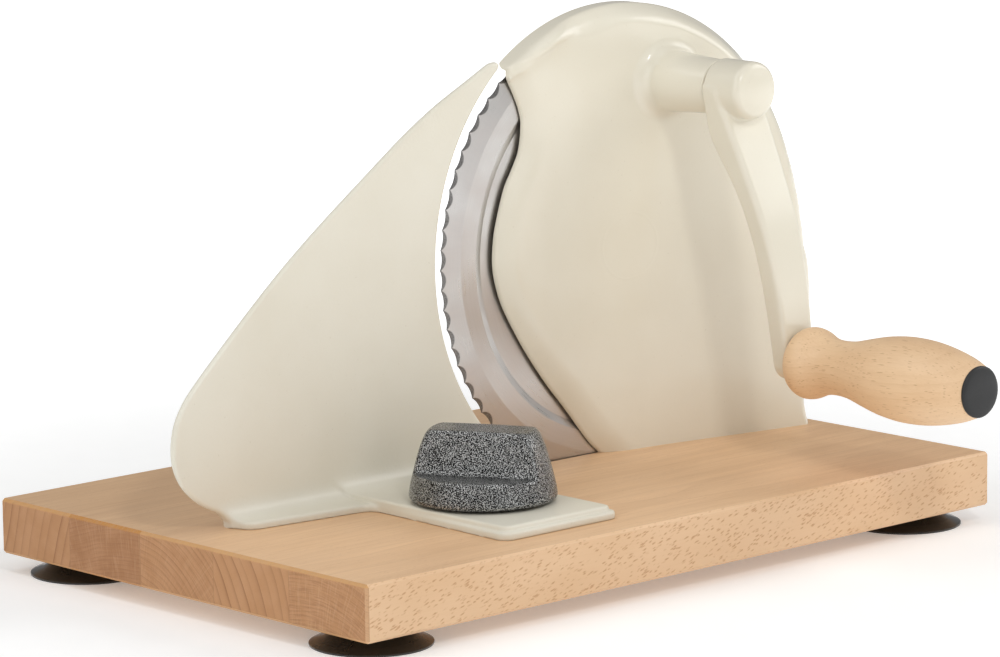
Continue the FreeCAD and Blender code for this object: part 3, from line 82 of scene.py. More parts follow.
# ------------------------------------------------------------------ node helpers
class Tree:
    def __init__(self, name):
        self.mat = bpy.data.materials.new(name)
        self.mat.use_nodes = True
        self.nt = self.mat.node_tree
        self.nt.nodes.clear()
        self.out = self.nt.nodes.new("ShaderNodeOutputMaterial")
        self.bsdf = self.nt.nodes.new("ShaderNodeBsdfPrincipled")
        self.nt.links.new(self.bsdf.outputs[0], self.out.inputs[0])
        tc = self.nt.nodes.new("ShaderNodeTexCoord")
        sc = self.nt.nodes.new("ShaderNodeVectorMath")
        sc.operation = "SCALE"
        sc.inputs[3].default_value = 1000.0
        self.nt.links.new(tc.outputs["Object"], sc.inputs[0])
        sub = self.nt.nodes.new("ShaderNodeVectorMath")
        sub.operation = "SUBTRACT"
        sub.inputs[1].default_value = tuple(OFF)
        self.nt.links.new(sc.outputs[0], sub.inputs[0])
        self.mm = sub.outputs[0]
        self.geo = self.nt.nodes.new("ShaderNodeNewGeometry")

    def put(self, sock, v):
        if isinstance(v, bpy.types.NodeSocket):
            self.nt.links.new(v, sock)
        elif isinstance(v, (tuple, list)) and len(v) == 3 and sock.type == "RGBA":
            sock.default_value = (v[0], v[1], v[2], 1.0)
        else:
            sock.default_value = v

    def set(self, **kw):
        for k, v in kw.items():
            self.put(self.bsdf.inputs[k.replace("_", " ")], v)

    def m(self, op, a, b=None, c=None, clamp=False):
        n = self.nt.nodes.new("ShaderNodeMath")
        n.operation = op
        n.use_clamp = clamp
        for i, v in enumerate((a, b, c)):
            if v is not None:
                self.put(n.inputs[i], v)
        return n.outputs[0]

    def v(self, op, a, b=None, s=None):
        n = self.nt.nodes.new("ShaderNodeVectorMath")
        n.operation = op
        self.put(n.inputs[0], a)
        if b is not None:
            self.put(n.inputs[1], b)
        if s is not None:
            self.put(n.inputs[3], s)
        return n.outputs["Value"] if op in ("LENGTH", "DOT_PRODUCT", "DISTANCE") else n.outputs[0]

    def sep(self, a):
        n = self.nt.nodes.new("ShaderNodeSeparateXYZ")
        self.put(n.inputs[0], a)
        return n.outputs

    def comb(self, x, y, z):
        n = self.nt.nodes.new("ShaderNodeCombineXYZ")
        for i, q in enumerate((x, y, z)):
            self.put(n.inputs[i], q)
        return n.outputs[0]

    def noise(self, vec, scale=1.0, detail=2.0, rough=0.5, dist=0.0, colour=False, dims="3D", w=None):
        n = self.nt.nodes.new("ShaderNodeTexNoise")
        n.noise_dimensions = dims
        if dims != "1D":
            self.put(n.inputs["Vector"], vec)
        if w is not None:
            self.put(n.inputs["W"], w)
        n.inputs["Scale"].default_value = scale
        n.inputs["Detail"].default_value = detail
        n.inputs["Roughness"].default_value = rough
        n.inputs["Distortion"].default_value = dist
        return n.outputs["Color" if colour else "Fac"]

    def voronoi(self, vec, scale=1.0, feature="F1", rand=1.0, out="Distance", smooth=None):
        n = self.nt.nodes.new("ShaderNodeTexVoronoi")
        n.feature = feature
        self.put(n.inputs["Vector"], vec)
        n.inputs["Scale"].default_value = scale
        n.inputs["Randomness"].default_value = rand
        if smooth is not None:
            n.inputs["Smoothness"].default_value = smooth
        return n.outputs[out]

    def white(self, v):
        n = self.nt.nodes.new("ShaderNodeTexWhiteNoise")
        n.noise_dimensions = "1D"
        self.put(n.inputs["W"], v)
        return n.outputs

    def ramp(self, fac, stops, interp="LINEAR"):
        n = self.nt.nodes.new("ShaderNodeValToRGB")
        n.color_ramp.interpolation = interp
        e = n.color_ramp.elements
        while len(e) < len(stops):
            e.new(0.5)
        for i, (p, col) in enumerate(stops):
            e[i].position = p
            col = (col, col, col) if isinstance(col, (int, float)) else col
            e[i].color = (col[0], col[1], col[2], 1.0)
        self.put(n.inputs[0], fac)
        return n.outputs[0]

    def range(self, val, a, b, c=0.0, d=1.0, smooth=False):
        n = self.nt.nodes.new("ShaderNodeMapRange")
        if smooth:
            n.interpolation_type = "SMOOTHSTEP"
        self.put(n.inputs["Value"], val)
        for k, q in (("From Min", a), ("From Max", b), ("To Min", c), ("To Max", d)):
            self.put(n.inputs[k], q)
        return n.outputs[0]

    def mix(self, fac, a, b, kind="MIX"):
        n = self.nt.nodes.new("ShaderNodeMix")
        n.data_type = "RGBA"
        n.blend_type = kind
        self.put(n.inputs[0], fac)
        self.put(n.inputs[6], a)
        self.put(n.inputs[7], b)
        return n.outputs[2]

    def bump(self, height, strength=1.0, dist=0.0001, normal=None):
        n = self.nt.nodes.new("ShaderNodeBump")
        n.inputs["Strength"].default_value = strength
        n.inputs["Distance"].default_value = dist
        self.put(n.inputs["Height"], height)
        if normal is not None:
            self.put(n.inputs["Normal"], normal)
        return n.outputs[0]


# ------------------------------------------------------------------ materials
def cream(name, gloss=True, mark=False):
    t = Tree(name)
    big = t.noise(t.mm, 0.018, 3.0, 0.5)
    fine = t.noise(t.mm, 1.3, 3.0, 0.55)
    base = t.mix(t.range(big, 0.35, 0.65), (0.741, 0.694, 0.572), (0.783, 0.742, 0.624)) if gloss else t.mix(t.range(big, 0.35, 0.65), (0.724, 0.687, 0.579), (0.764, 0.733, 0.632))
    base = t.mix(t.m("MULTIPLY", t.range(fine, 0.3, 0.7), 0.10), base, (0.72, 0.66, 0.52))
    speck = t.range(t.noise(t.mm, 0.9, 2.0, 0.4), 0.74, 0.78)
    base = t.mix(t.m("MULTIPLY", speck, 0.22), base, (0.48, 0.42, 0.30))
    peel = t.noise(t.mm, 0.42 if gloss else 0.9, 2.0, 0.5)
    grit = t.noise(t.mm, 3.5, 2.0, 0.5)
    height = t.m("ADD", t.m("MULTIPLY", peel, 0.55 if gloss else 0.9), t.m("MULTIPLY", grit, 0.06 if gloss else 0.16))
    if mark:
        # faint round trace of the axle boss showing through the face
        s = t.sep(t.mm)
        dx, dz = t.m("SUBTRACT", s[0], 68.0), t.m("SUBTRACT", s[2], 84.7)
        rd = t.m("SQRT", t.m("ADD", t.m("MULTIPLY", dx, dx), t.m("MULTIPLY", dz, dz)))
        line = t.range(t.m("ABSOLUTE", t.m("SUBTRACT", rd, 13.6)), 0.0, 0.9, 1.0, 0.0, True)
        height = t.m("ADD", height, t.m("MULTIPLY", line, 0.9))
    t.set(Base_Color=base, Roughness=t.range(fine, 0.3, 0.7, 0.30 if gloss else 0.38, 0.38 if gloss else 0.47),
          Normal=t.bump(height, 0.35 if gloss else 0.60, 0.00012), Coat_Weight=0.40 if gloss else 0.25, Coat_Roughness=0.10 if gloss else 0.20, IOR=1.48)
    return t


def wood_fields(t, vec, cx, cy, warp):
    # distance to the pith line and direction from it, bent a little along the grain
    s = t.sep(vec)
    w = t.noise(t.comb(t.m("MULTIPLY", s[0], 0.006), t.m("MULTIPLY", s[1], 0.02), t.m("MULTIPLY", s[2], 0.02)), 1.0, 2.0, 0.5, colour=True)
    w = t.v("SCALE", t.v("SUBTRACT", w, (0.5, 0.5, 0.5)), s=warp)
    ws = t.sep(w)
    dy = t.m("SUBTRACT", t.m("ADD", s[1], ws[0]), cx)
    dz = t.m("SUBTRACT", t.m("ADD", s[2], ws[1]), cy)
    r = t.m("SQRT", t.m("ADD", t.m("MULTIPLY", dy, dy), t.m("MULTIPLY", dz, dz)))
    return r, t.m("ARCTAN2", dz, dy)


def ring_shade(t, r, sharp=5.0):
    # each year: slow darkening, then a thin dark late line; some years stronger than others
    q = t.m("ADD", r, t.m("MULTIPLY", t.noise(t.comb(r, 0.0, 0.0), 0.6, 2.0), 0.9))
    year = t.white(t.m("FLOOR", q))[0]
    return t.m("MULTIPLY", t.m("POWER", t.m("FRACT", q), sharp), t.m("MULTIPLY_ADD", year, 0.65, 0.35))


def board_wood():
    t = Tree("beech_board")
    s = t.sep(t.mm)
    nrm = t.sep(t.geo.outputs["Normal"])
    idx = t.m("FLOOR", t.m("DIVIDE", t.m("ADD", s[1], 108.5), 43.4))
    rnd = t.white(t.m("ADD", idx, 3.7))
    key = t.m("DIVIDE", t.m("ADD", idx, 0.5), 5.0)
    # pith place and ring width of each stave, packed as colours
    cen = [(10, -62, 1.7), (78, -34, 4.6), (32, -52, 2.4), (-22, -125, 1.6), (-188, -70, 5.0)]
    tab = t.ramp(key, [(i / 5.0, ((c[0] + 200) / 400, (c[1] + 200) / 400, c[2] / 10)) for i, c in enumerate(cen)], "CONSTANT")
    ts = t.sep(tab)
    cy = t.m("MULTIPLY_ADD", ts[0], 400.0, -200.0)
    cz = t.m("MULTIPLY_ADD", ts[1], 400.0, -200.0)
    spc = t.m("MULTIPLY", ts[2], 10.0)
    # how strong the rings and the rays are on each stave's end, and how dark it is
    look = t.sep(t.ramp(key, [(0.0, (0.55, 0.85, 0.15)), (0.2, (1.0, 0.05, 0.0)), (0.4, (0.90, 0.50, 0.15)), (0.6, (0.60, 0.55, 1.0)), (0.8, (1.0, 0.08, 0.30))], "CONSTANT"))
    yl = t.m("SUBTRACT", s[1], t.m("MULTIPLY_ADD", idx, 43.4, -86.8))
    zl = t.m("ADD", s[2], 11.0)
    vec = t.comb(t.m("MULTIPLY_ADD", rnd[0], 900.0, s[0]), yl, zl)
    rr, ang = wood_fields(t, vec, cy, cz, 7.0)
    r = t.m("DIVIDE", rr, spc)
    late = ring_shade(t, r)
    end = t.range(t.m("ABSOLUTE", nrm[0]), 0.55, 0.8)
    side = t.range(t.m("ABSOLUTE", nrm[1]), 0.5, 0.8)
    # fibres along the board
    off = t.v("SCALE", rnd[1], s=80.0)
    fib = t.noise(t.v("ADD", t.comb(t.m("MULTIPLY", s[0], 0.045), t.m("MULTIPLY", s[1], 1.7), t.m("MULTIPLY", s[2], 1.7)), off), 1.0, 4.0, 0.62)
    band = t.noise(t.v("ADD", t.comb(t.m("MULTIPLY", s[0], 0.006), t.m("MULTIPLY", s[1], 0.10), t.m("MULTIPLY", s[2], 0.10)), off), 1.0, 3.0, 0.5)
    cloud = t.noise(t.v("ADD", t.comb(t.m("MULTIPLY", s[0], 0.018), t.m("MULTIPLY", s[1], 0.04), t.m("MULTIPLY", s[2], 0.04)), off), 1.0, 2.0, 0.5)
    # short dark ray flecks, broad on the long sides and fine hair lines on the top
    wob = t.v("SCALE", t.noise(t.mm, 0.55, 2.0, 0.5, colour=True), s=0.7)
    fl_v = t.v("ADD", t.v("ADD", t.comb(t.m("MULTIPLY", s[0], 0.30), t.m("MULTIPLY", s[1], 1.0), t.m("MULTIPLY", t.m("MULTIPLY_ADD", s[0], -0.30, s[2]), 0.98)), off), wob)
    fl = t.voronoi(fl_v, 1.0, "F1", 1.0)
    pick = t.voronoi(fl_v, 1.0, "F1", 1.0, "Color")
    gate = t.noise(t.v("ADD", t.comb(t.m("MULTIPLY", s[0], 0.035), t.m("MULTIPLY", s[1], 0.13), t.m("MULTIPLY", s[2], 0.13)), off), 1.0, 2.0, 0.5)
    many = t.m("ADD", t.m("MULTIPLY", t.sep(pick)[0], 0.5), gate)
    fleck = t.m("MULTIPLY", t.range(fl, 0.16, 0.42, 1.0, 0.0), t.range(many, 0.52, 0.64))
    hair = t.voronoi(t.v("ADD", t.comb(t.m("MULTIPLY", s[0], 0.20), t.m("MULTIPLY", s[1], 1.9), t.m("MULTIPLY", s[2], 1.9)), off), 1.0, "F1", 1.0)
    hair = t.m("MULTIPLY", t.range(hair, 0.10, 0.24, 1.0, 0.0), t.range(gate, 0.40, 0.56))
    side_f = t.m("MULTIPLY", fleck, side)
    top_f = t.m("MULTIPLY", hair, t.m("SUBTRACT", 1.0, side))
    # top and underside
    light = t.mix(t.range(rnd[0], 0.0, 1.0), (0.765, 0.500, 0.288), (0.820, 0.545, 0.323))
    dark = (0.535, 0.302, 0.148)
    c = t.mix(t.m("MULTIPLY", late, 0.30), light, dark)
    c = t.mix(t.m("MULTIPLY", t.range(fib, 0.42, 0.72), 0.30), c, dark)
    c = t.mix(t.m("MULTIPLY", t.range(band, 0.42, 0.66), 0.44), c, (0.640, 0.390, 0.210))
    c = t.mix(t.m("MULTIPLY", t.range(cloud, 0.45, 0.75), 0.40), c, (0.680, 0.435, 0.252))
    c = t.mix(t.m("MULTIPLY", top_f, 0.42), c, (0.400, 0.205, 0.095))
    # the two long sides: few fibres, many flecks, and paler: partly their own tone, partly painted lighter to stand in
    # for the stronger light falling on them
    d = t.mix(t.range(cloud, 0.40, 0.65), (0.820, 0.560, 0.342), (0.775, 0.515, 0.300))
    d = t.mix(t.m("MULTIPLY", t.range(fib, 0.45, 0.75), 0.12), d, (0.66, 0.40, 0.21))
    d = t.mix(t.m("MULTIPLY", t.range(band, 0.45, 0.70), 0.20), d, (0.76, 0.48, 0.28))
    d = t.mix(t.m("MULTIPLY", side_f, 0.72), d, (0.500, 0.245, 0.105))
    c = t.mix(side, c, d)
    # end grain: darker, rings, rays and fine growth texture
    arc = t.m("MULTIPLY", ang, t.m("SQRT", t.m("ADD", t.m("MULTIPLY", cy, cy), t.m("MULTIPLY", cz, cz))))
    ray = t.noise(t.comb(t.m("MULTIPLY", arc, 1.25), t.m("MULTIPLY", rr, 0.07), 0.0), 1.0, 2.0, 0.6)
    ray2 = t.noise(t.comb(t.m("MULTIPLY", arc, 2.2), t.m("MULTIPLY", rr, 0.30), 4.0), 1.0, 1.0, 0.5)
    grow = t.noise(t.comb(t.m("MULTIPLY", rr, 1.5), t.m("MULTIPLY", arc, 0.10), 7.0), 1.0, 3.0, 0.6)
    pore = t.noise(t.comb(s[0], t.m("MULTIPLY", yl, 2.4), t.m("MULTIPLY", s[2], 2.4)), 1.0, 2.0, 0.6)
    blot = t.noise(t.comb(3.0, t.m("MULTIPLY", yl, 0.09), t.m("MULTIPLY", s[2], 0.09)), 1.0, 2.0, 0.5)
    e = t.mix(look[2], (0.515, 0.265, 0.118), (0.400, 0.188, 0.078))
    e = t.mix(t.m("MULTIPLY", t.range(blot, 0.40, 0.62), 0.22), e, (0.66, 0.375, 0.205))
    e = t.mix(t.m("MULTIPLY", late, look[0]), e, (0.300, 0.130, 0.052))
    e = t.mix(t.m("MULTIPLY", t.range(grow, 0.46, 0.62), t.m("MULTIPLY", look[1], 0.55)), e, (0.315, 0.140, 0.058))
    rays = t.m("ADD", t.range(ray, 0.53, 0.62), t.m("MULTIPLY", t.range(ray2, 0.60, 0.70), 0.6))
    e = t.mix(t.m("MULTIPLY", t.m("MULTIPLY", rays, look[1]), 0.24), e, (0.700, 0.450, 0.260))
    e = t.mix(t.m("MULTIPLY", t.range(pore, 0.55, 0.72), 0.22), e, (0.340, 0.160, 0.070))
    c = t.mix(end, c, e)
    # glue lines, and the sawn, torn arris at the ends
    gl = t.m("ABSOLUTE", t.m("SUBTRACT", t.m("FRACT", t.m("DIVIDE", t.m("ADD", s[1], 108.5), 43.4)), 0.5))
    c = t.mix(t.m("MULTIPLY", t.range(gl, 0.4950, 0.4985), t.m("MULTIPLY_ADD", end, 0.30, 0.10)), c, (0.300, 0.150, 0.065))
    slope = t.m("MULTIPLY", t.range(t.m("ABSOLUTE", nrm[0]), 0.2, 0.4), t.range(t.m("ABSOLUTE", nrm[2]), 0.2, 0.4))
    tooth = t.range(t.noise(t.comb(t.m("MULTIPLY", s[2], 0.9), t.m("MULTIPLY", t.m("ADD", s[1], s[2]), 0.95), 0.0), 1.0, 3.0, 0.7), 0.45, 0.56)
    warm = t.mix(look[2], (0.640, 0.360, 0.150), (0.540, 0.245, 0.060))
    c = t.mix(slope, c, t.mix(tooth, t.mix(0.25, c, warm), warm))
    # the same torn fibres run a little way down the end face
    edge = t.m("ADD", s[2], t.m("MULTIPLY", t.noise(t.comb(0.0, t.m("MULTIPLY", s[1], 1.6), 3.0), 1.0, 3.0, 0.7), 2.2))
    torn = t.m("MULTIPLY", t.m("MULTIPLY", t.range(edge, -0.5, 0.2), end), 0.75)
    c = t.mix(torn, c, warm)
    rough = t.m("ADD", t.range(fib, 0.3, 0.7, 0.44, 0.54), t.m("MULTIPLY", end, 0.14))
    h = t.m("ADD", t.m("MULTIPLY", fib, 0.5), t.m("ADD", t.m("MULTIPLY", side_f, -0.7), t.m("MULTIPLY", t.m("MULTIPLY", late, end), 0.8)))
    t.set(Base_Color=c, Roughness=rough, Normal=t.bump(h, 0.35, 0.00012), Coat_Weight=0.08, Coat_Roughness=0.35, IOR=1.45)
    return t


def handle_wood():
    t = Tree("beech_handle")
    s = t.sep(t.mm)
    # grain runs along the handle, which lies along Y
    lx, lz = t.m("SUBTRACT", s[0], 99.67), t.m("SUBTRACT", s[2], 41.32)
    tilt = t.m("MULTIPLY_ADD", s[1], 0.045, lz)
    v = t.comb(s[1], lx, tilt)
    rr, ang = wood_fields(t, v, 12.0, -72.0, 9.0)
    late = ring_shade(t, t.m("DIVIDE", rr, 2.9), 4.0)
    fib = t.noise(t.comb(t.m("MULTIPLY", s[1], 0.07), t.m("MULTIPLY", lx, 1.6), t.m("MULTIPLY", tilt, 1.6)), 1.0, 4.0, 0.62)
    wob = t.v("SCALE", t.noise(t.mm, 0.35, 2.0, 0.5, colour=True), s=0.8)
    fv = t.v("ADD", t.comb(t.m("MULTIPLY", s[1], 0.17), t.m("MULTIPLY", lx, 1.25), t.m("MULTIPLY", tilt, 1.25)), wob)
    fl = t.voronoi(fv, 1.0)
    pick = t.sep(t.voronoi(fv, 1.0, "F1", 1.0, "Color"))[0]
    gate = t.noise(t.comb(t.m("MULTIPLY", s[1], 0.04), t.m("MULTIPLY", lx, 0.10), t.m("MULTIPLY", tilt, 0.10)), 1.0, 2.0)
    fleck = t.m("MULTIPLY", t.range(fl, 0.12, 0.30, 1.0, 0.0), t.range(t.m("ADD", t.m("MULTIPLY", pick, 0.5), gate), 0.64, 0.78))
    cloud = t.noise(t.comb(t.m("MULTIPLY", s[1], 0.02), t.m("MULTIPLY", lx, 0.06), t.m("MULTIPLY", tilt, 0.06)), 1.0, 2.0)
    c = t.mix(t.range(cloud, 0.40, 0.62), (0.835, 0.588, 0.360), (0.770, 0.520, 0.305))
    c = t.mix(t.m("MULTIPLY", late, 0.20), c, (0.560, 0.320, 0.150))
    c = t.mix(t.m("MULTIPLY", t.range(fib, 0.42, 0.75), 0.20), c, (0.600, 0.360, 0.180))
    c = t.mix(t.m("MULTIPLY", fleck, 0.50), c, (0.400, 0.205, 0.085))
    h = t.m("ADD", t.m("MULTIPLY", fib, 0.6), t.m("MULTIPLY", fleck, -0.5))
    t.set(Base_Color=c, Roughness=t.range(fib, 0.3, 0.7, 0.38, 0.48), Normal=t.bump(h, 0.25, 0.0001), Coat_Weight=0.14, Coat_Roughness=0.28, IOR=1.47)
    return t


def hammertone():
    t = Tree("hammertone")
    warp = t.v("ADD", t.mm, t.v("SCALE", t.noise(t.mm, 1.5, 1.0, 0.5, colour=True), s=0.5))
    grain = t.noise(warp, 2.6, 1.0, 0.5)
    fine = t.noise(t.mm, 4.6, 2.0, 0.6)
    big = t.noise(t.mm, 0.16, 2.0, 0.5)
    level = t.m("ADD", grain, t.m("MULTIPLY", t.m("SUBTRACT", fine, 0.5), 0.20))
    level = t.m("ADD", level, t.m("MULTIPLY", t.m("SUBTRACT", big, 0.5), 0.08))
    silver = t.range(level, 0.522, 0.534)
    c = t.mix(silver, (0.0012, 0.0015, 0.002), (0.46, 0.465, 0.46))
    h = t.m("ADD", t.m("MULTIPLY", silver, 0.8), t.m("MULTIPLY", grain, 0.8))
    t.set(Base_Color=c, Metallic=t.m("MULTIPLY", silver, 0.80), Roughness=t.range(silver, 0.0, 1.0, 0.22, 0.38),
          Normal=t.bump(h, 0.8, 0.00014), Coat_Weight=0.06, Coat_Roughness=0.15, IOR=1.30)
    return t


def steel(name, base, rough, circular=None, spread=0.05, tint=None):
    t = Tree(name)
    s = t.sep(t.mm)
    if circular:
        dx, dz = t.m("SUBTRACT", s[0], circular[0]), t.m("SUBTRACT", s[2], circular[1])
        r = t.m("SQRT", t.m("ADD", t.m("MULTIPLY", dx, dx), t.m("MULTIPLY", dz, dz)))
        a = t.m("ARCTAN2", dz, dx)
        v = t.comb(t.m("MULTIPLY", r, 2.6), t.m("MULTIPLY", t.m("SINE", a), 2.5), t.m("MULTIPLY", t.m("COSINE", a), 2.5))
    else:
        v = t.comb(t.m("MULTIPLY", s[0], 3.0), t.m("MULTIPLY", s[1], 3.0), t.m("MULTIPLY", s[2], 3.0))
    fine = t.noise(v, 1.0, 5.0, 0.7)
    cloud = t.noise(t.mm, 0.05, 3.0, 0.5)
    c = t.mix(t.range(fine, 0.3, 0.7), tuple(q * 0.90 for q in base), base)
    if tint:
        c = t.mix(t.m("MULTIPLY", t.range(cloud, 0.4, 0.66), 0.5), c, tint)
    smear = t.noise(t.mm, 0.12, 3.0, 0.6)
    t.set(Base_Color=c, Metallic=1.0, Roughness=t.m("ADD", t.range(fine, 0.3, 0.7, rough - spread, rough + spread), t.range(smear, 0.4, 0.7, 0.0, 0.08)),
          Normal=t.bump(fine, 0.25, 0.00003))
    return t


def blade_steel():
    t = Tree("blade_steel")
    s = t.sep(t.mm)
    dx, dz = t.m("SUBTRACT", s[0], 68.0), t.m("SUBTRACT", s[2], 84.7)
    r = t.m("SQRT", t.m("ADD", t.m("MULTIPLY", dx, dx), t.m("MULTIPLY", dz, dz)))
    a = t.m("ARCTAN2", dz, dx)
    # turned finish: long arcs
    ca, sa = t.m("COSINE", a), t.m("SINE", a)
    fine = t.noise(t.comb(t.m("MULTIPLY", r, 2.6), t.m("MULTIPLY", sa, 2.5), t.m("MULTIPLY", ca, 2.5)), 1.0, 5.0, 0.7)
    wide = t.noise(t.comb(t.m("MULTIPLY", r, 0.28), t.m("MULTIPLY", sa, 1.2), t.m("MULTIPLY", ca, 1.2)), 1.0, 2.0, 0.5)
    # cross-wise grinding strokes in the flat outside the step
    cross = t.noise(t.comb(t.m("MULTIPLY", r, 0.12), t.m("MULTIPLY", sa, 60.0), t.m("MULTIPLY", ca, 60.0)), 1.0, 3.0, 0.6)
    outer = t.range(r, 82.0, 86.0)
    cloud = t.noise(t.mm, 0.05, 3.0, 0.5)
    c = t.mix(t.range(fine, 0.3, 0.7), (0.525, 0.510, 0.494), (0.585, 0.570, 0.556))
    c = t.mix(t.m("MULTIPLY", t.range(wide, 0.40, 0.62), 0.40), c, (0.55, 0.525, 0.51))
    c = t.mix(t.m("MULTIPLY", t.range(cloud, 0.42, 0.62), 0.45), c, (0.58, 0.535, 0.515))
    c = t.mix(t.m("MULTIPLY", t.m("MULTIPLY", t.range(cross, 0.45, 0.65), outer), 0.16), c, (0.50, 0.485, 0.48))
    # one hollow per scallop: deepest at its middle, thin at the points; the hollows are painted near-black as painted
    # shade and painted dark reflection
    u = t.m("FRACT", t.m("MULTIPLY", a, 74.0 / (2.0 * math.pi)))
    b = t.m("MULTIPLY", t.m("MULTIPLY", u, t.m("SUBTRACT", 1.0, u)), 4.0)
    lim = t.m("SUBTRACT", 94.75, t.m("MULTIPLY", t.m("POWER", b, 0.8), 2.5))
    hollow = t.range(t.m("SUBTRACT", r, lim), -0.10, 0.35)
    deep = t.range(t.m("SUBTRACT", r, lim), 0.0, 2.2)
    hollow_painted_dark = t.mix(t.range(t.noise(t.mm, 1.4, 2.0, 0.5), 0.35, 0.65), (0.085, 0.082, 0.080), (0.20, 0.195, 0.19))
    c = t.mix(t.m("MULTIPLY", hollow, 0.88), c, hollow_painted_dark)
    h = t.m("ADD", t.m("MULTIPLY", fine, 0.25), t.m("ADD", t.m("MULTIPLY", t.m("MULTIPLY", cross, outer), 0.25), t.m("MULTIPLY", deep, -6.0)))
    t.set(Base_Color=c, Metallic=1.0, Roughness=t.m("ADD", t.range(fine, 0.3, 0.7, 0.25, 0.35), t.m("MULTIPLY", t.range(cloud, 0.4, 0.7), 0.10)),
          Normal=t.bump(h, 0.5, 0.00004))
    return t


def plastic(name, base, rough, coat=0.0, grain=1.6):
    t = Tree(name)
    fine = t.noise(t.mm, grain, 4.0, 0.6)
    wide = t.noise(t.mm, 0.12, 2.0, 0.5)
    c = t.mix(t.range(fine, 0.3, 0.7), tuple(q * 0.85 for q in base), tuple(min(1.0, q * 1.12) for q in base))
    c = t.mix(t.m("MULTIPLY", t.range(wide, 0.45, 0.75), 0.25), c, tuple(min(1.0, q * 1.5 + 0.01) for q in base))
    t.set(Base_Color=c, Roughness=t.range(wide, 0.3, 0.7, rough - 0.05, rough + 0.07), Normal=t.bump(fine, 0.22, 0.00008), Coat_Weight=coat)
    return t


M_CREAM = cream("cream_paint", True)
M_PLATE = cream("cream_plate", False)
M_BOARD = board_wood()
M_HANDLE = handle_wood()
M_HAMMER = hammertone()
M_BLADE = blade_steel()
M_STEEL = steel("turned_steel", (0.56, 0.56, 0.57), 0.28)
M_ZINC = steel("zinc_steel", (0.66, 0.67, 0.68), 0.32, None, 0.06, (0.60, 0.60, 0.52))
M_BRONZE = steel("bronze", (0.62, 0.43, 0.22), 0.36)
M_GEAR = plastic("gear_plastic", (0.80, 0.77, 0.68), 0.42)
M_CAP = plastic("grey_plastic", (0.0115, 0.0115, 0.012), 0.48, 0.0)
M_RUBBER = plastic("black_rubber", (0.0055, 0.0055, 0.0055), 0.30, 0.45, 0.8)

BY_SLOT = {"cream_paint": M_CREAM, "cream_plate": M_PLATE, "beech_board": M_BOARD, "beech_handle": M_HANDLE, "hammertone": M_HAMMER,
           "blade_steel": M_BLADE, "turned_steel": M_STEEL, "zinc_steel": M_ZINC, "bronze": M_BRONZE, "gear_plastic": M_GEAR,
           "grey_plastic": M_CAP, "black_rubber": M_RUBBER}
for sub in frame["record"]["subparts"]:
    ob = NODES.get(sub["node"])
    if ob is None:
        continue
    ob.data.materials.clear()
    ob.data.materials.append(BY_SLOT[sub["material_slot"]].mat)


# ------------------------------------------------------------------ mesh helpers
def make(name, verts, faces, tree, body, nodes=(), smooth=True, sharp=None, extra=None):
    me = bpy.data.meshes.new(name)
    v = (np.asarray(verts, float) + OFF) * MM
    me.from_pydata([tuple(p) for p in v], [], [tuple(int(i) for i in f) for f in faces])
    me.validate()
    me.materials.append(tree.mat)
    if extra:
        for mt in extra[0]:
            me.materials.append(mt.mat)
        me.polygons.foreach_set("material_index", extra[1])
    me.polygons.foreach_set("use_smooth", [smooth] * len(me.polygons))
    me.update()
    if sharp is not None:
        me.set_sharp_from_angle(angle=math.radians(sharp))
    ob = bpy.data.objects.new(name, me)
    scene.collection.objects.link(ob)
    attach(ob, body)
    if nodes:
        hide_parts(*nodes)
    return ob


def grid_faces(n, m, wrap_n=False, wrap_m=False, base=0, flip=False):
    # vertices numbered base + i*m + j
    out = []
    for i in range(n if wrap_n else n - 1):
        i2 = (i + 1) % n
        for j in range(m if wrap_m else m - 1):
            j2 = (j + 1) % m
            f = (base + i * m + j, base + i2 * m + j, base + i2 * m + j2, base + i * m + j2)
            out.append(f[::-1] if flip else f)
    return out


def lathe(name, profile, centre, axis, tree, body, nodes=(), seg=128, sharp=50):
    # profile: closed loop of (radius, along axis), turned about a line through centre
    n, mm = seg, len(profile)
    ax = {"Y": 1, "Z": 2}[axis]
    verts = []
    for i in range(n):
        a = 2 * math.pi * i / n
        c, s_ = math.cos(a), math.sin(a)
        for r, q in profile:
            p = [0.0, 0.0, 0.0]
            p[ax] = q
            o = [k for k in range(3) if k != ax]
            p[o[0]], p[o[1]] = centre[0] + r * c, centre[1] + r * s_
            verts.append(p)
    faces = grid_faces(n, mm, True, True)
    ob = make(name, verts, faces, tree, body, nodes, True, None)
    bm = bmesh.new()
    bm.from_mesh(ob.data)
    bmesh.ops.remove_doubles(bm, verts=bm.verts, dist=1e-6)
    bmesh.ops.dissolve_degenerate(bm, edges=bm.edges, dist=1e-7)
    bmesh.ops.recalc_face_normals(bm, faces=bm.faces)
    bm.to_mesh(ob.data)
    bm.free()
    ob.data.set_sharp_from_angle(angle=math.radians(sharp))
    return ob


def catmull(pts, n):
    out = []
    m = len(pts)
    for i in range(m - 1):
        p0, p1, p2, p3 = pts[max(i - 1, 0)], pts[i], pts[i + 1], pts[min(i + 2, m - 1)]
        for k in range(n):
            t = k / n
            out.append(tuple(0.5 * ((2 * p1[j]) + (-p0[j] + p2[j]) * t + (2 * p0[j] - 5 * p1[j] + 4 * p2[j] - p3[j]) * t * t
                                    + (-p0[j] + 3 * p1[j] - 3 * p2[j] + p3[j]) * t * t * t) for j in range(len(p1))))
    out.append(tuple(pts[-1]))
    return out


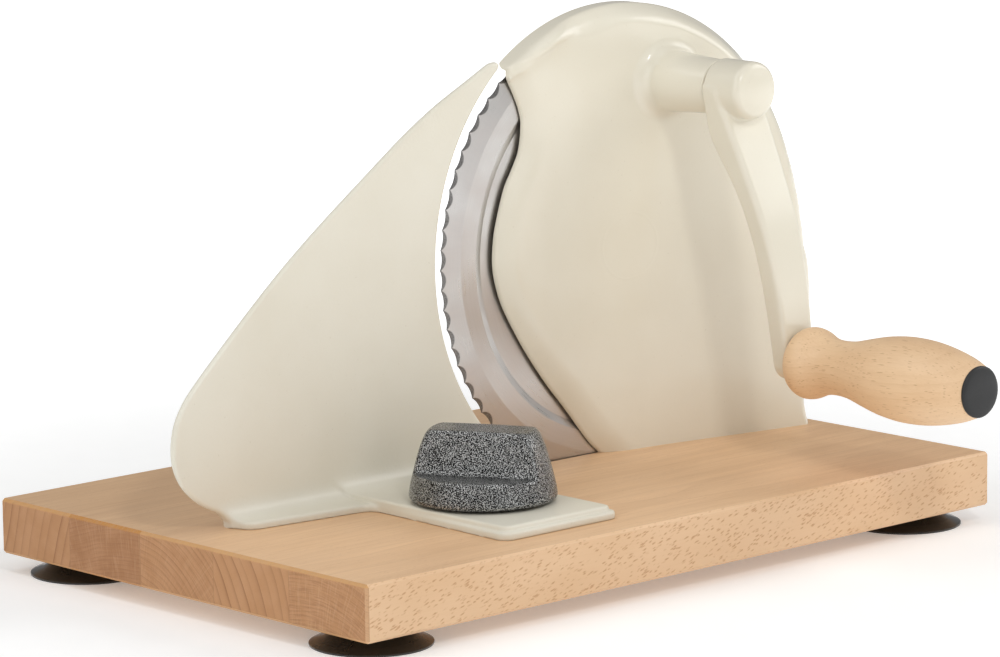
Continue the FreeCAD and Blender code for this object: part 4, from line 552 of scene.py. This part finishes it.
def surface_net(f, lo, hi, h, newton=2, block=8):
    # smooth quad mesh of f = 0 inside a box; f takes arrays x, y, z. Only blocks near the surface are worked out.
    nb = [int(math.ceil(((hi[k] - lo[k]) / h + 1) / block)) for k in range(3)]
    n = [q * block for q in nb]
    cen = [lo[k] + h * ((np.arange(nb[k]) + 0.5) * block - 0.5) for k in range(3)]
    CXx, CYy, CZz = np.meshgrid(*cen, indexing="ij")
    coarse = f(CXx.ravel(), CYy.ravel(), CZz.ravel()).reshape(nb)
    V = np.where(coarse < 0, -1.0, 1.0).astype(np.float32)
    for k in range(3):
        V = np.repeat(V, block, axis=k)
    act = np.argwhere(np.abs(coarse) < (math.sqrt(3) / 2 * block + 1.5) * h * 1.05)
    o = np.arange(block)
    ox, oy, oz = (q.ravel() for q in np.meshgrid(o, o, o, indexing="ij"))
    for c in range(0, len(act), 400):
        a = act[c:c + 400] * block
        ix, iy, iz = (a[:, k, None] + q[None] for k, q in enumerate((ox, oy, oz)))
        V[ix, iy, iz] = f(lo[0] + h * ix, lo[1] + h * iy, lo[2] + h * iz)
    inside = V < 0
    cnt = np.zeros([q - 1 for q in n], np.int8)
    for a in (0, 1):
        for b in (0, 1):
            for c in (0, 1):
                cnt += inside[a:n[0] - 1 + a, b:n[1] - 1 + b, c:n[2] - 1 + c]
    act = np.argwhere((cnt > 0) & (cnt < 8))
    cells = np.full([q - 1 for q in n], -1, np.int32)
    cells[act[:, 0], act[:, 1], act[:, 2]] = np.arange(len(act))
    pos = np.zeros((len(act), 3))
    num = np.zeros(len(act))
    corners = [(a, b, c) for a in (0, 1) for b in (0, 1) for c in (0, 1)]
    vals = {q: V[act[:, 0] + q[0], act[:, 1] + q[1], act[:, 2] + q[2]] for q in corners}
    for i, p in enumerate(corners):
        for q in corners[i + 1:]:
            if sum(abs(p[k] - q[k]) for k in range(3)) != 1:
                continue
            vp, vq = vals[p], vals[q]
            m = (vp < 0) != (vq < 0)
            t = np.where(m, vp / np.where(m, vp - vq, 1.0), 0.0)
            for k in range(3):
                pos[:, k] += np.where(m, p[k] + t * (q[k] - p[k]), 0.0)
            num += m
    pos = pos / num[:, None] + act
    pos = pos * h + np.array(lo)
    e = h * 0.08
    x, y, z = pos.T
    g = np.stack([f(x + e, y, z) - f(x - e, y, z), f(x, y + e, z) - f(x, y - e, z), f(x, y, z + e) - f(x, y, z - e)], 1) / (2 * e)
    g2 = np.maximum((g * g).sum(1), 0.3)
    for _ in range(newton):
        step = np.clip(f(*pos.T) / g2, -0.6 * h, 0.6 * h)
        pos = pos - g * step[:, None]
    faces = []
    for k in range(3):
        u, w = [(1, 2), (2, 0), (0, 1)][k]
        sl0 = [slice(None)] * 3
        sl1 = [slice(None)] * 3
        sl0[k], sl1[k] = slice(0, n[k] - 1), slice(1, n[k])
        for q in (u, w):
            sl0[q] = slice(1, n[q] - 1)
            sl1[q] = slice(1, n[q] - 1)
        A, B = inside[tuple(sl0)], inside[tuple(sl1)]
        idx = np.argwhere(A != B)
        off = np.zeros(3, int)
        off[u], off[w] = 1, 1
        base = idx + off
        du, dw = np.zeros(3, int), np.zeros(3, int)
        du[u], dw[w] = 1, 1
        ids = [cells[q[:, 0], q[:, 1], q[:, 2]] for q in (base - du - dw, base - dw, base, base - du)]
        quad = np.stack(ids, 1)
        a = A[idx[:, 0], idx[:, 1], idx[:, 2]]
        quad[~a] = quad[~a][:, ::-1]
        faces.append(quad)
    return pos, np.concatenate(faces)


def smin(a, b, k):
    q = np.maximum(k - np.abs(a - b), 0.0) / k
    return np.minimum(a, b) - q * q * k * 0.25


def smax(a, b, k):
    return -smin(-a, -b, k)


BX, BZ = 68.0, 84.7
CA = math.radians(75.0)
CX, CZ = BX + 68.25 * math.cos(CA), BZ + 68.25 * math.sin(CA)
LEAN = math.radians(7.3)
HX, HZ = CX + 110.2 * math.sin(LEAN), CZ - 110.2 * math.cos(LEAN)
KX, KY = -54.0, -46.9

# ------------------------------------------------------------------ housing
HR = 98.0
CREST = [(126.5, 2.6, 3.0), (123, 3.6, 3.0), (119, 5.0, 3.0), (112, 5.8, 2.8), (105, 5.6, 2.6), (90, 5.0, 2.2), (75, 6.0, 1.6), (60, 8.5, 1.0), (45, 12.5, 0.5),
         (37, 15.0, 0.1), (29, 16.2, 0.0), (20, 17.2, 0.0), (11, 16.6, -0.2), (2, 14.8, -1.5), (-6, 11.8, -4.0)]
LOWER = [(164.6, 68.0, 8.4, -8.0), (163.2, 57.5, 5.2, -10.0), (161.6, 46.0, 3.6, -11.0), (160.2, 32.0, 3.0, -11.5),
         (159.4, 20.0, 2.8, -11.5), (159.8, 9.0, 2.6, -12.0), (162.0, 0.0, 2.4, -12.0), (164.5, -8.0, 2.4, -12.0)]
S_EDGE = [(62.5, -6.0), (56.8, 0.0), (50.5, 5.9), (38.9, 19.6), (26.3, 34.0), (15.0, 49.0), (4.9, 65.3), (0.7, 75.9), (-0.8, 84.1),
          (-0.4, 92.1), (1.1, 99.9), (5.6, 113.4), (10.0, 120.9), (13.9, 128.5), (15.3, 138.4), (14.2, 144.5), (11.5, 150.7), (8.6, 156.0)]


def on_circle(r, a):
    return (BX + r * math.cos(math.radians(a)), BZ + r * math.sin(math.radians(a)))


RIM = []
for i in range(len(CREST) - 1):
    a0, a1 = CREST[i], CREST[i + 1]
    steps = max(2, int((a0[0] - a1[0]) / 1.5))
    for k in range(steps):
        t = k / steps
        p = on_circle(HR, a0[0] + (a1[0] - a0[0]) * t)
        RIM.append((p[0], p[1], a0[1] + (a1[1] - a0[1]) * t, a0[2] + (a1[2] - a0[2]) * t))
LOW = catmull([on_circle(HR, CREST[-1][0]) + (CREST[-1][1], CREST[-1][2])] + LOWER, 8)
RIM = np.array(RIM + LOW)
S_LINE = np.array(catmull(S_EDGE, 6))
LIP = np.array(catmull([(-4.0, 165.0), (5.6, 164.2), (9.9, 164.0), (14.6, 164.4), (18.1, 165.5), (26.3, 168.4), (30.1, 170.0), (38.3, 173.2), (46.6, 175.8),
                        (58.0, 178.2), (70.0, 179.2)], 4))
TIP = np.array([((1 - t) ** 2 * 8.6 + 2 * t * (1 - t) * 6.1 + t * t * (BX + HR * math.cos(math.radians(126.5))),
                 (1 - t) ** 2 * 156.0 + 2 * t * (1 - t) * 161.0 + t * t * (BZ + HR * math.sin(math.radians(126.5)))) for t in np.linspace(0.25, 1, 9)])


def near_line(P, x, z):
    # signed distance to a polyline (positive on its right), with the place along it
    A, B = P[:-1, :2], P[1:, :2]
    d = B - A
    L2 = (d * d).sum(1)
    out_d, out_i, out_t, out_s = [], [], [], []
    xs, zs = x.ravel(), z.ravel()
    for c in range(0, len(xs), 20000):
        px = xs[c:c + 20000, None] - A[None, :, 0]
        pz = zs[c:c + 20000, None] - A[None, :, 1]
        t = np.clip((px * d[None, :, 0] + pz * d[None, :, 1]) / L2[None], 0, 1)
        D = np.hypot(px - t * d[None, :, 0], pz - t * d[None, :, 1])
        k = D.argmin(1)
        r = np.arange(len(k))
        s = d[k, 0] * pz[r, k] - d[k, 1] * px[r, k]
        out_d.append(D[r, k])
        out_i.append(k)
        out_t.append(t[r, k])
        out_s.append(np.where(s > 0, -1.0, 1.0))
    sh = x.shape
    return (np.concatenate(out_d) * np.concatenate(out_s)).reshape(sh), np.concatenate(out_i).reshape(sh), np.concatenate(out_t).reshape(sh)


def nose(x, z):
    # 1 over the nose, falling to 0 towards the top of the hood
    f = np.clip((np.degrees(np.arctan2(z - BZ, x - BX)) - 91.0) / 26.0, 0, 1)
    return f * f * (3 - 2 * f)


def tip(x, z):
    # 1 at the very end of the nose
    f = np.clip((np.degrees(np.arctan2(z - BZ, x - BX)) - 105.0) / 15.0, 0, 1)
    return f * f * (3 - 2 * f)


def front(x, z):
    face = smin(-0.4 + 0 * x, -2.6 - 0.185 * (x - BX) - 0.032 * (z - BZ), 5.0)
    s, _, _ = near_line(S_LINE, x, z)
    q = 1.0 - np.maximum(s, -2.0) / 11.0
    face = np.where(s < 11.0, face + (3.2 - face) * np.minimum(q * q, 1.35), face)
    # proud rounded lip at the nose, standing over a wide hollow
    fade = nose(x, z)
    d = near_line(LIP, x, z)[0]
    face = face + (-2.1 - face) * np.clip(1.0 - np.maximum(d, 0.0) / 10.0, 0, 1) ** 2.2 * fade
    bulge = -3.3 + np.maximum(d + 2.6, 0.0) ** 2 / 6.5
    face = face + smin(bulge - face, 0.0 * x, 0.9) * fade
    e, i, t = near_line(RIM, x, z)
    a, b = RIM[i], RIM[np.minimum(i + 1, len(RIM) - 1)]
    inset = a[..., 2] + (b[..., 2] - a[..., 2]) * t
    rim = a[..., 3] + (b[..., 3] - a[..., 3]) * t
    ax, az = a[..., 0] + (b[..., 0] - a[..., 0]) * t, a[..., 1] + (b[..., 1] - a[..., 1]) * t
    k = np.clip((ax - 30.0) / 40.0, 0, 1)
    k = k * k * (3 - 2 * k)
    crest = -0.6 + k * np.minimum(-2.0 - 0.185 * (ax - BX) - 0.032 * (az - BZ), 0.0)
    f2 = nose(ax, az)
    crest = crest - 2.7 * f2
    shoulder = rim - (rim - crest) / inset * np.maximum(e, -6.0) - 6.5 * tip(ax, az)
    soft = 6.5 - 3.2 * np.clip((np.degrees(np.arctan2(az - BZ, ax - BX)) - 80.0) / 16.0, 0, 1)
    return np.where(e < 30.0, smax(face, shoulder, soft), face)


def housing():
    loop, back = [], []
    for a in np.arange(126.5, -6.01, -0.45):
        loop.append(on_circle(HR, a))
        back.append(10.0 if a > -3.5 else 4.4)
    low = np.array(catmull([tuple(p[:2]) for p in LOW], 3))
    for p in low[2:]:
        if p[1] <= 0.0:
            break
        loop.append(tuple(p))
        back.append(4.4)
    x_r = 162.0
    for x in np.linspace(x_r, 56.8, 120):
        loop.append((x, 0.0))
        back.append(4.4)
    s_pts = catmull(S_EDGE, 18)
    for p in s_pts:
        if p[1] > 0.3:
            loop.append(tuple(p))
            back.append(4.4)
    for t in np.linspace(0, 1, 12)[1:-1]:
        p0, p1, p2 = np.array((8.6, 156.0)), np.array((6.1, 161.0)), np.array(on_circle(HR, 126.5))
        q = (1 - t) ** 2 * p0 + 2 * t * (1 - t) * p1 + t * t * p2
        loop.append(tuple(q))
        back.append(4.4 + 5.6 * float(np.clip((t - 0.55) / 0.4, 0, 1)) ** 0.5)
    loop, back = np.array(loop), np.array(back)
    n = len(loop)
    C = np.array((CX, CZ))
    d = loop - C
    L = np.hypot(d[:, 0], d[:, 1])
    u = d / L[:, None]
    rf, rs = 5.5, 12.3
    fy = front(C[0] + u[:, 0] * (rs + rf), C[1] + u[:, 1] * (rs + rf))
    cols = []

    def ring(r, y):
        r = np.broadcast_to(np.asarray(r, float), (n,))
        y = np.broadcast_to(np.asarray(y, float), (n,))
        cols.append(np.stack([C[0] + u[:, 0] * r, y, C[1] + u[:, 1] * r], 1))

    # bore, end of the boss, cone
    for y in (-4.0, -20.0, -37.6, -38.0):
        ring(8.0, y)
    for r in (8.4, 9.9):
        ring(r, -38.0)
    for k in range(1, 6):
        b = math.radians(90 * k / 5)
        ring(9.9 + 0.9 * math.sin(b), -38.0 + 0.9 * (1 - math.cos(b)))
    slope = (12.3 - 10.8) / 30.0
    fil_top = fy - rf
    for k in range(1, 13):
        t = k / 12.0
        y = -37.1 + (fil_top + 37.1) * t
        ring(10.8 + (y + 37.1) * slope if False else 10.8 + (12.3 - 10.8) * t, y)
    # fillet, then the face
    for k in range(1, 12):
        b = math.radians(90 * k / 12)
        r = rs + rf * (1 - math.cos(b))
        y0 = front(C[0] + u[:, 0] * r, C[1] + u[:, 1] * r)
        ring(r, y0 - rf * (1 - math.sin(b)))
    NR = 150
    r0 = rs + rf
    for k in range(NR + 1):
        t = k / NR
        g = t - 0.82 * math.sin(2 * math.pi * t) / (2 * math.pi) if t > 0.5 else t - 0.55 * math.sin(2 * math.pi * t) / (2 * math.pi)
        g = min(g, 1.0)
        r = r0 + (L - r0) * g
        x, z = C[0] + u[:, 0] * r, C[1] + u[:, 1] * r
        y = front(x, z)
        # soft outer corner, none along the board
        fn = tip(x, z) * np.clip((z - 155.0) / 6.0, 0, 1)
        R = 1.3 + 4.0 * fn
        e = np.minimum(np.abs(near_line(RIM, x, z)[0]), np.abs(near_line(S_LINE, x, z)[0]) * (1.6 + 3.0 * fn))
        e = np.minimum(e, np.abs(near_line(TIP, x, z)[0]) * (1.0 + 1.5 * (1 - fn)))
        e = np.clip(e, 0, R)
        y = y + (R - np.sqrt(np.maximum(R * R - (R - e) ** 2, 0.0))) * (0.8 + 0.2 * fn)
        y = np.minimum(y, back - 0.15)
        cols.append(np.stack([x, y, z], 1))
    yr = cols[-1][:, 1]
    # wall, back lip, inner wall
    for t in (0.15, 0.5, 0.85, 0.97, 1.0):
        cols.append(np.stack([loop[:, 0], yr + (back - yr) * t, loop[:, 1]], 1))
    deep = back > 5.0
    nrm = np.stack([np.roll(loop, -1, 0)[:, 1] - np.roll(loop, 1, 0)[:, 1], -(np.roll(loop, -1, 0)[:, 0] - np.roll(loop, 1, 0)[:, 0])], 1)
    nrm /= np.linalg.norm(nrm, axis=1)[:, None]
    # loop runs clockwise seen from -Y with Z up, so this normal points outwards or inwards; make it point in
    if (nrm * (C - loop)).sum(1).mean() < 0:
        nrm = -nrm
    for off, yk in ((0.25, 0.0), (1.55, 0.0), (1.8, -0.25), (1.8, -5.0)):
        p = loop + nrm * off
        y = np.where(deep, back + yk, back + (0.0 if yk > -1 else -0.01))
        cols.append(np.stack([p[:, 0], y, np.maximum(p[:, 1], 0.0)], 1))
    for k in range(0, 25):
        t = k / 24.0
        p = loop + nrm * 2.4
        dd = p - C
        Lk = np.hypot(dd[:, 0], dd[:, 1])
        r = Lk + (11.2 - Lk) * t
        uu = dd / Lk[:, None]
        x, z = C[0] + uu[:, 0] * r, C[1] + uu[:, 1] * r
        y = np.minimum(front(x, z) + 2.0, 4.3)
        if k == 24:
            y = np.maximum(y, -30.0)
        cols.append(np.stack([x, y, np.maximum(z, 0.0)], 1))
    ring(11.2, -3.6)
    ring(8.0, -3.6)
    V = np.stack(cols, 1)
    m = V.shape[1]
    faces = grid_faces(n, m, True, True)
    ob = make("housing_shell", V.reshape(-1, 3), faces, M_HOUSING, "frame", ("housing",))
    tidy(ob, 42)
    # rest of the round wall, behind the lower right corner
    prof = [(96.25, 4.0), (97.95, 4.0), (97.95, 9.75), (97.7, 10.0), (96.5, 10.0), (96.25, 9.75)]
    verts, m = [], len(prof)
    angs = np.arange(-2.0, -59.81, -0.6)
    for a in angs:
        for r, y in prof:
            p = on_circle(r, a)
            verts.append((p[0], y, p[1]))
    faces = grid_faces(len(angs), m, False, True)
    faces += [tuple(range(m)), tuple(range((len(angs) - 1) * m, len(angs) * m))[::-1]]
    tidy(make("housing_wall", verts, faces, M_CREAM, "frame", ("housing",)), 40)


def tidy(ob, sharp=40, merge=2e-6):
    bm = bmesh.new()
    bm.from_mesh(ob.data)
    bmesh.ops.remove_doubles(bm, verts=bm.verts, dist=merge)
    bmesh.ops.dissolve_degenerate(bm, edges=bm.edges, dist=1e-7)
    bmesh.ops.recalc_face_normals(bm, faces=bm.faces)
    bm.to_mesh(ob.data)
    bm.free()
    ob.data.polygons.foreach_set("use_smooth", [True] * len(ob.data.polygons))
    if sharp:
        ob.data.set_sharp_from_angle(angle=math.radians(sharp))
    return ob


M_HOUSING = cream("cream_housing", True, True)
housing()


# ------------------------------------------------------------------ crank arm
def poly_sdf(P, x, y):
    # signed distance to a closed polygon, negative inside
    P = np.asarray(P, float)
    Q = np.roll(P, -1, 0)
    best = np.full(x.shape, 1e9)
    inside = np.zeros(x.shape, bool)
    for (ax, ay), (bx, by) in zip(P, Q):
        dx, dy = bx - ax, by - ay
        L2 = dx * dx + dy * dy
        if L2 < 1e-12:
            continue
        t = np.clip(((x - ax) * dx + (y - ay) * dy) / L2, 0, 1)
        best = np.minimum(best, (x - ax - t * dx) ** 2 + (y - ay - t * dy) ** 2)
        cross = ((ay > y) != (by > y))
        if dy != 0:
            inside ^= cross & (x < (bx - ax) * (y - ay) / dy + ax)
    return np.where(inside, -1.0, 1.0) * np.sqrt(best)


ARM_F = [(-3.0, -46.0), (3.0, -47.6), (9.0, -50.4), (14.0, -51.9), (20.8, -54.3), (34.7, -58.9), (47.8, -63.0), (59.4, -65.7), (74.8, -67.8), (90.0, -68.7), (121.0, -68.8)]
ARM_B = [(121.0, -60.6), (100.0, -60.4), (85.0, -59.9), (70.0, -58.6), (58.0, -56.6), (46.0, -53.4), (35.0, -48.9), (25.0, -43.6), (17.0, -40.2), (9.0, -39.3), (-3.0, -39.3)]


MID_S = [-3.0, 9.0, 17.0, 25.0, 35.0, 46.0, 58.0, 70.0, 85.0, 121.0]
MID_Y = [-43.0, -44.8, -47.1, -50.6, -54.8, -58.6, -61.4, -63.2, -64.2, -64.6]


def arm():
    side = catmull(ARM_F, 5) + catmull(ARM_B, 5)
    side = [p for i, p in enumerate(side) if i == 0 or p != side[i - 1]]
    hub = [(0.0, -39.0), (11.1, -39.0), (11.5, -39.4), (11.6, -40.5), (11.6, -54.8)]
    for k in range(1, 9):
        b = math.pi / 2 * k / 9
        hub.append((8.9 + 2.7 * math.cos(b), -54.8 - 3.3 * math.sin(b)))
    hub += [(8.4, -58.2), (6.0, -58.7), (3.0, -59.0), (0.0, -59.1)]
    hub_l = [(-x, y) for x, y in hub[::-1] if x > 0]
    hub = hub + hub_l
    cl, sl = math.cos(LEAN), math.sin(LEAN)

    def f(x, y, z):
        dx, dz = x - CX, z - CZ
        w = dx * cl + dz * sl
        s = dx * sl - dz * cl
        k = np.clip(s / 110.2, 0, 1)
        r_here = 12.0 + (8.0 - 12.0) * k
        plan = np.hypot(w, s - k * 110.2) - r_here
        body = poly_sdf(side, s, y)
        mid = np.interp(s, MID_S, MID_Y)
        a = smax(body, plan, np.where(y < mid, 2.4, 1.1))
        r = np.hypot(dx, dz)
        h = poly_sdf(hub, r, y)
        d = smin(a, h, 1.6)
        # bore for the handle spindle, and the grub screw hole
        spin = np.maximum(np.hypot(x - HX, z - HZ) - 4.0, np.abs(y + 60.0) - 4.0)
        grub = np.maximum(np.hypot(y + 45.0, s) - 2.05, -(w - 9.0))
        return np.maximum(np.maximum(d, -spin), -grub)

    V, F = surface_net(f, (CX - 16.0, -71.5, CZ - 124.0), (CX + 25.0, -36.5, CZ + 15.5), 0.62)
    ob = make("crank_arm_cast", V, F, M_CREAM, "crank", ("crank_arm",))
    tidy(ob, 55)


arm()


# ------------------------------------------------------------------ handle
def handle():
    g0 = -69.5
    prof = [(8.4, 0.0), (11.4, 0.0), (11.9, 0.15), (12.2, 0.5)]
    prof += [(r, s) for s, r in catmull([(0.6, 12.2), (2.2, 13.6), (5.2, 14.5), (8.8, 14.0), (13, 12.3), (17, 11.3), (21, 11.05), (25, 11.2),
             (30, 11.9), (38, 13.9), (46, 15.7), (54, 16.75), (60, 17.0), (67, 16.75), (74, 15.9), (81, 14.5), (87, 12.9), (91.5, 11.2), (93.3, 10.35)], 6)]
    prof += [(10.2, 93.6), (10.05, 93.75), (8.6, 93.8), (8.4, 93.6)]
    lathe("grip_turned", [(r, g0 - s) for r, s in prof], (HX, HZ), "Y", M_HANDLE, "handle", ("handle_grip",), 192, 40)
    cap = [(0.0, 86.6), (8.3, 86.6), (8.3, 93.6), (9.9, 93.72), (10.15, 93.95), (10.2, 94.3)]
    cap += [(10.2 - 0.05, 94.7), (9.85, 95.05), (9.3, 95.3), (8.2, 95.45), (6.0, 95.57), (3.0, 95.65), (0.0, 95.68)]
    lathe("cap_moulded", [(r, g0 - s) for r, s in cap], (HX, HZ), "Y", M_CAP, "handle", ("handle_cap",), 160, 50)


handle()


# ------------------------------------------------------------------ knob
def knob():
    kb, kt, kl = 6.1, 34.2, 15.6
    half = [(0.0, kb), (27.6, kb), (28.4, kb + 0.35), (28.65, kb + 1.2)]
    half += catmull([(28.65, kb + 1.2), (28.3, kb + 4.0), (27.05, kl), (24.45, kb + 19.0), (22.1, kt - 3.2), (20.9, kt - 0.4), (20.6, kt + 0.0)], 5)[1:]
    half += [(0.0, kt)]
    prof = half + [(-x, y) for x, y in half[::-1] if x > 0]
    ba = math.radians(-60.0)
    cb, sb = math.cos(ba), math.sin(ba)

    def f(x, y, z):
        dx, dy = x - KX, y - KY
        v = -dx * sb + dy * cb
        r = np.hypot(dx, dy)
        body = poly_sdf(prof, r, z)
        top = z - kt + 0.0010 * r * r
        body = smax(body, top, 4.0)
        hw = 8.0 + np.clip((kt - z) / (kt - kl), 0, 1.1) * 2.4
        wall = (np.abs(v) - hw) * 0.985
        keep = smin(wall, z - (kl - 0.3 + 0.05 * np.abs(v)), 2.0)
        d = smax(body, keep, 1.1)
        under = np.maximum(r - 24.0, z - (kb + 1.2))
        return np.maximum(d, -under)

    V, F = surface_net(f, (KX - 31, KY - 31, 4.6), (KX + 31, KY + 31, 37.6), 0.55)
    ob = make("knob_cast", V, F, M_HAMMER, "knob", ("thickness_knob",))
    tidy(ob, 60)


knob()


# ------------------------------------------------------------------ stop plate
PLATE = [(-3.2, 164.4), (-16.5, 157.8), (-30.3, 151.0), (-42.0, 144.2), (-52.4, 137.5), (-71.6, 124.2), (-90.7, 110.8), (-108.5, 97.4),
         (-124.6, 84.0), (-139.8, 70.5), (-154.3, 57.1), (-160.6, 50.2), (-164.6, 43.3), (-166.4, 35.9), (-166.3, 28.6), (-164.5, 22.8),
         (-161.3, 17.6), (-156.2, 12.6), (-150.0, 8.6), (-143.8, 5.8), (-139.0, 3.4)]
PN, PT = 1.8, 3.0
AR, AZ = 100.6, 86.1


def rounded(P, r):
    # polygon corners rounded by radius r[i]
    out = []
    n = len(P)
    for i in range(n):
        p, a, b = np.array(P[i], float), np.array(P[i - 1], float), np.array(P[(i + 1) % n], float)
        ri = r[i]
        if ri <= 0:
            out.append(tuple(p))
            continue
        u, v = (a - p) / np.linalg.norm(a - p), (b - p) / np.linalg.norm(b - p)
        ang = math.acos(max(-1, min(1, float(u @ v))))
        t = ri / math.tan(ang / 2)
        c = p + (u + v) / np.linalg.norm(u + v) * (ri / math.sin(ang / 2))
        s, e = p + u * t, p + v * t
        a0, a1 = math.atan2(*(s - c)[::-1]), math.atan2(*(e - c)[::-1])
        while a1 - a0 > math.pi:
            a1 -= 2 * math.pi
        while a1 - a0 < -math.pi:
            a1 += 2 * math.pi
        for k in range(9):
            q = a0 + (a1 - a0) * k / 8
            out.append((c[0] + ri * math.cos(q), c[1] + ri * math.sin(q)))
    return out


def plate():
    far = PN + PT
    low = rounded([(-139.0, far), (-139.0, -8.0), (-82.0, -14.5), (-84.4, -91.9), (-24.2, -91.9), (-26.6, -14.5), (8.0, -12.0), (12.0, far)],
                  [0, 5, 7, 5, 5, 7, 0, 0])
    high = rounded([(-82.4, far), (-82.2, -89.7), (-26.4, -89.7), (-26.2, far)], [0, 3.4, 3.4, 0])
    edge = [(2.3, 162.3), (2.6, 163.3), (2.1, 164.3), (1.1, 164.9), (-0.2, 165.0), (-1.8, 164.8)] + catmull(PLATE, 3)
    edge += [(-139.0, 0.0), (40.0, 0.0), (40.0, 110.0)]
    slot_c, slot_l = (KX, KY + 7.5), 7.5

    def f(x, y, z):
        x, y, z = (np.asarray(q, np.float32) for q in (x, y, z))
        disc = AR - np.hypot(x - BX, z - AZ)
        out = smax(poly_sdf(edge, x, z), disc, 1.0)
        d = smax(out, np.abs(y - (PN + PT / 2)) - PT / 2, 1.7)
        near = z < 18.0
        if near.any():
            xa, ya, za = x[near], y[near], z[near]
            a = smax(poly_sdf(low, xa, ya), za - 3.0, 1.4)
            b = smax(poly_sdf(high, xa, ya), za - 5.0, 1.5)
            a = smin(a, b, 0.7)
            a = np.maximum(a, ya - (far - 0.5))
            e = smin(a, d[near], 8.0)
            e = np.maximum(np.maximum(e, ya - far), -za)
            # curved end beside the blade, and the slot for the pivot bolt
            e = smax(e, disc[near], 1.0)
            s = np.hypot(xa - slot_c[0], np.maximum(np.abs(ya - slot_c[1]) - slot_l, 0.0)) - 4.4
            d[near] = np.maximum(e, -s)
        return d

    V, F = surface_net(f, (-168.0, -93.5, -1.2), (14.0, 6.6, 166.4), 0.6)
    tidy(make("plate_casting", V, F, M_PLATE, "plate", ("stop_plate",)), 60)
    for sx in (-1, 1):
        xk = KX + sx * 21.0
        x0, x1, y0, y1 = xk - 4.0, xk + 4.0, -75.0, -38.0
        rings = []
        for z, d in ((0.2, 0.0), (-3.3, 0.0), (-3.65, 0.15), (-3.8, 0.5)):
            rings.append([(x0 + d, y0 + d, z), (x1 - d, y0 + d, z), (x1 - d, y1 - d, z), (x0 + d, y1 - d, z)])
        verts = [p for r in rings for p in r]
        faces = [(0, 1, 2, 3)]
        for k in range(3):
            for j in range(4):
                faces.append((k * 4 + j, k * 4 + (j + 1) % 4, k * 4 + 4 + (j + 1) % 4, k * 4 + 4 + j))
        faces.append((12, 13, 14, 15))
        tidy(make("plate_runner_%d" % (1 if sx < 0 else 2), verts, faces, M_PLATE, "plate", ("stop_plate",)), 30)


plate()


# ------------------------------------------------------------------ floor and light
def floor():
    me = bpy.data.meshes.new("floor")
    n, R = 96, 4.0
    verts = [(0, 0, 0)]
    for k in range(n):
        a = 2 * math.pi * k / n
        verts.append((R * math.cos(a), R * math.sin(a), 0))
    faces = [(0, 1 + k, 1 + (k + 1) % n) for k in range(n)]
    me.from_pydata(verts, [], faces)
    me.update()
    t = Tree("floor_sweep")
    s = t.sep(t.v("SCALE", t.geo.outputs["Position"], s=1.0))
    fine = t.noise(t.v("SCALE", t.geo.outputs["Position"], s=60.0), 1.0, 3.0)
    c = t.mix(t.range(fine, 0.3, 0.7), (0.90, 0.90, 0.895), (0.92, 0.92, 0.915))
    # the floor glows: painted light, dimmer near the object and brighter farther out, which also lights the object
    # from below
    far = t.range(t.v("LENGTH", t.geo.outputs["Position"]), 0.15, 0.9, 0.20, 0.95, True)
    t.set(Base_Color=c, Roughness=0.75, Emission_Color=(0.985, 0.995, 1.0), Emission_Strength=far)
    me.materials.append(t.mat)
    ob = bpy.data.objects.new("floor", me)
    scene.collection.objects.link(ob)


floor()


def area(name, loc, target, size, power, colour=(1, 1, 1), size_y=None):
    li = bpy.data.lights.new(name, "AREA")
    li.energy = power
    li.color = colour
    li.shape = "RECTANGLE" if size_y else "SQUARE"
    li.size = size
    if size_y:
        li.size_y = size_y
    ob = bpy.data.objects.new(name, li)
    ob.location = loc
    d = Vector(target) - Vector(loc)
    ob.rotation_euler = d.to_track_quat("-Z", "Y").to_euler()
    scene.collection.objects.link(ob)


def around(name, az, el, dist, size, power, colour=(1.0, 1.0, 1.0), size_y=None):
    a, e = math.radians(az), math.radians(el)
    c = Vector((0.02, 0.0, 0.09))
    loc = c + Vector((math.sin(a) * math.cos(e), -math.cos(a) * math.cos(e), math.sin(e))) * dist
    area(name, tuple(loc), tuple(c), size, power, colour, size_y)


LIGHTS = [("key", -22, 40, 1.6, 0.20, 4.0), ("front_left", -80, 25, 1.5, 0.9, 4.2), ("front", -5, 22, 1.5, 0.9, 2.1),
          ("right", 60, 30, 1.5, 0.9, 7.4), ("top", 0, 88, 1.4, 1.1, 2.9), ("back_left", -125, 50, 1.6, 0.9, 4.4)]
for row_ in LIGHTS:
    around(*row_)

world = bpy.data.worlds.new("studio")
world.use_nodes = True
bg = world.node_tree.nodes["Background"]
bg.inputs[0].default_value = (1.0, 1.0, 1.0, 1.0)
bg.inputs[1].default_value = 0.27
nt = world.node_tree
lp = nt.nodes.new("ShaderNodeLightPath")
white = nt.nodes.new("ShaderNodeBackground")
white.inputs[0].default_value = (1.0, 1.0, 1.0, 1.0)
white.inputs[1].default_value = 1.0
pick = nt.nodes.new("ShaderNodeMixShader")
nt.links.new(lp.outputs["Is Camera Ray"], pick.inputs[0])
nt.links.new(bg.outputs[0], pick.inputs[1])
nt.links.new(white.outputs[0], pick.inputs[2])
nt.links.new(pick.outputs[0], nt.nodes["World Output"].inputs[0])
scene.world = world
scene.view_settings.view_transform = "Standard"
scene.view_settings.look = "None"
scene.view_settings.exposure = 0.0

bpy.context.view_layer.update()
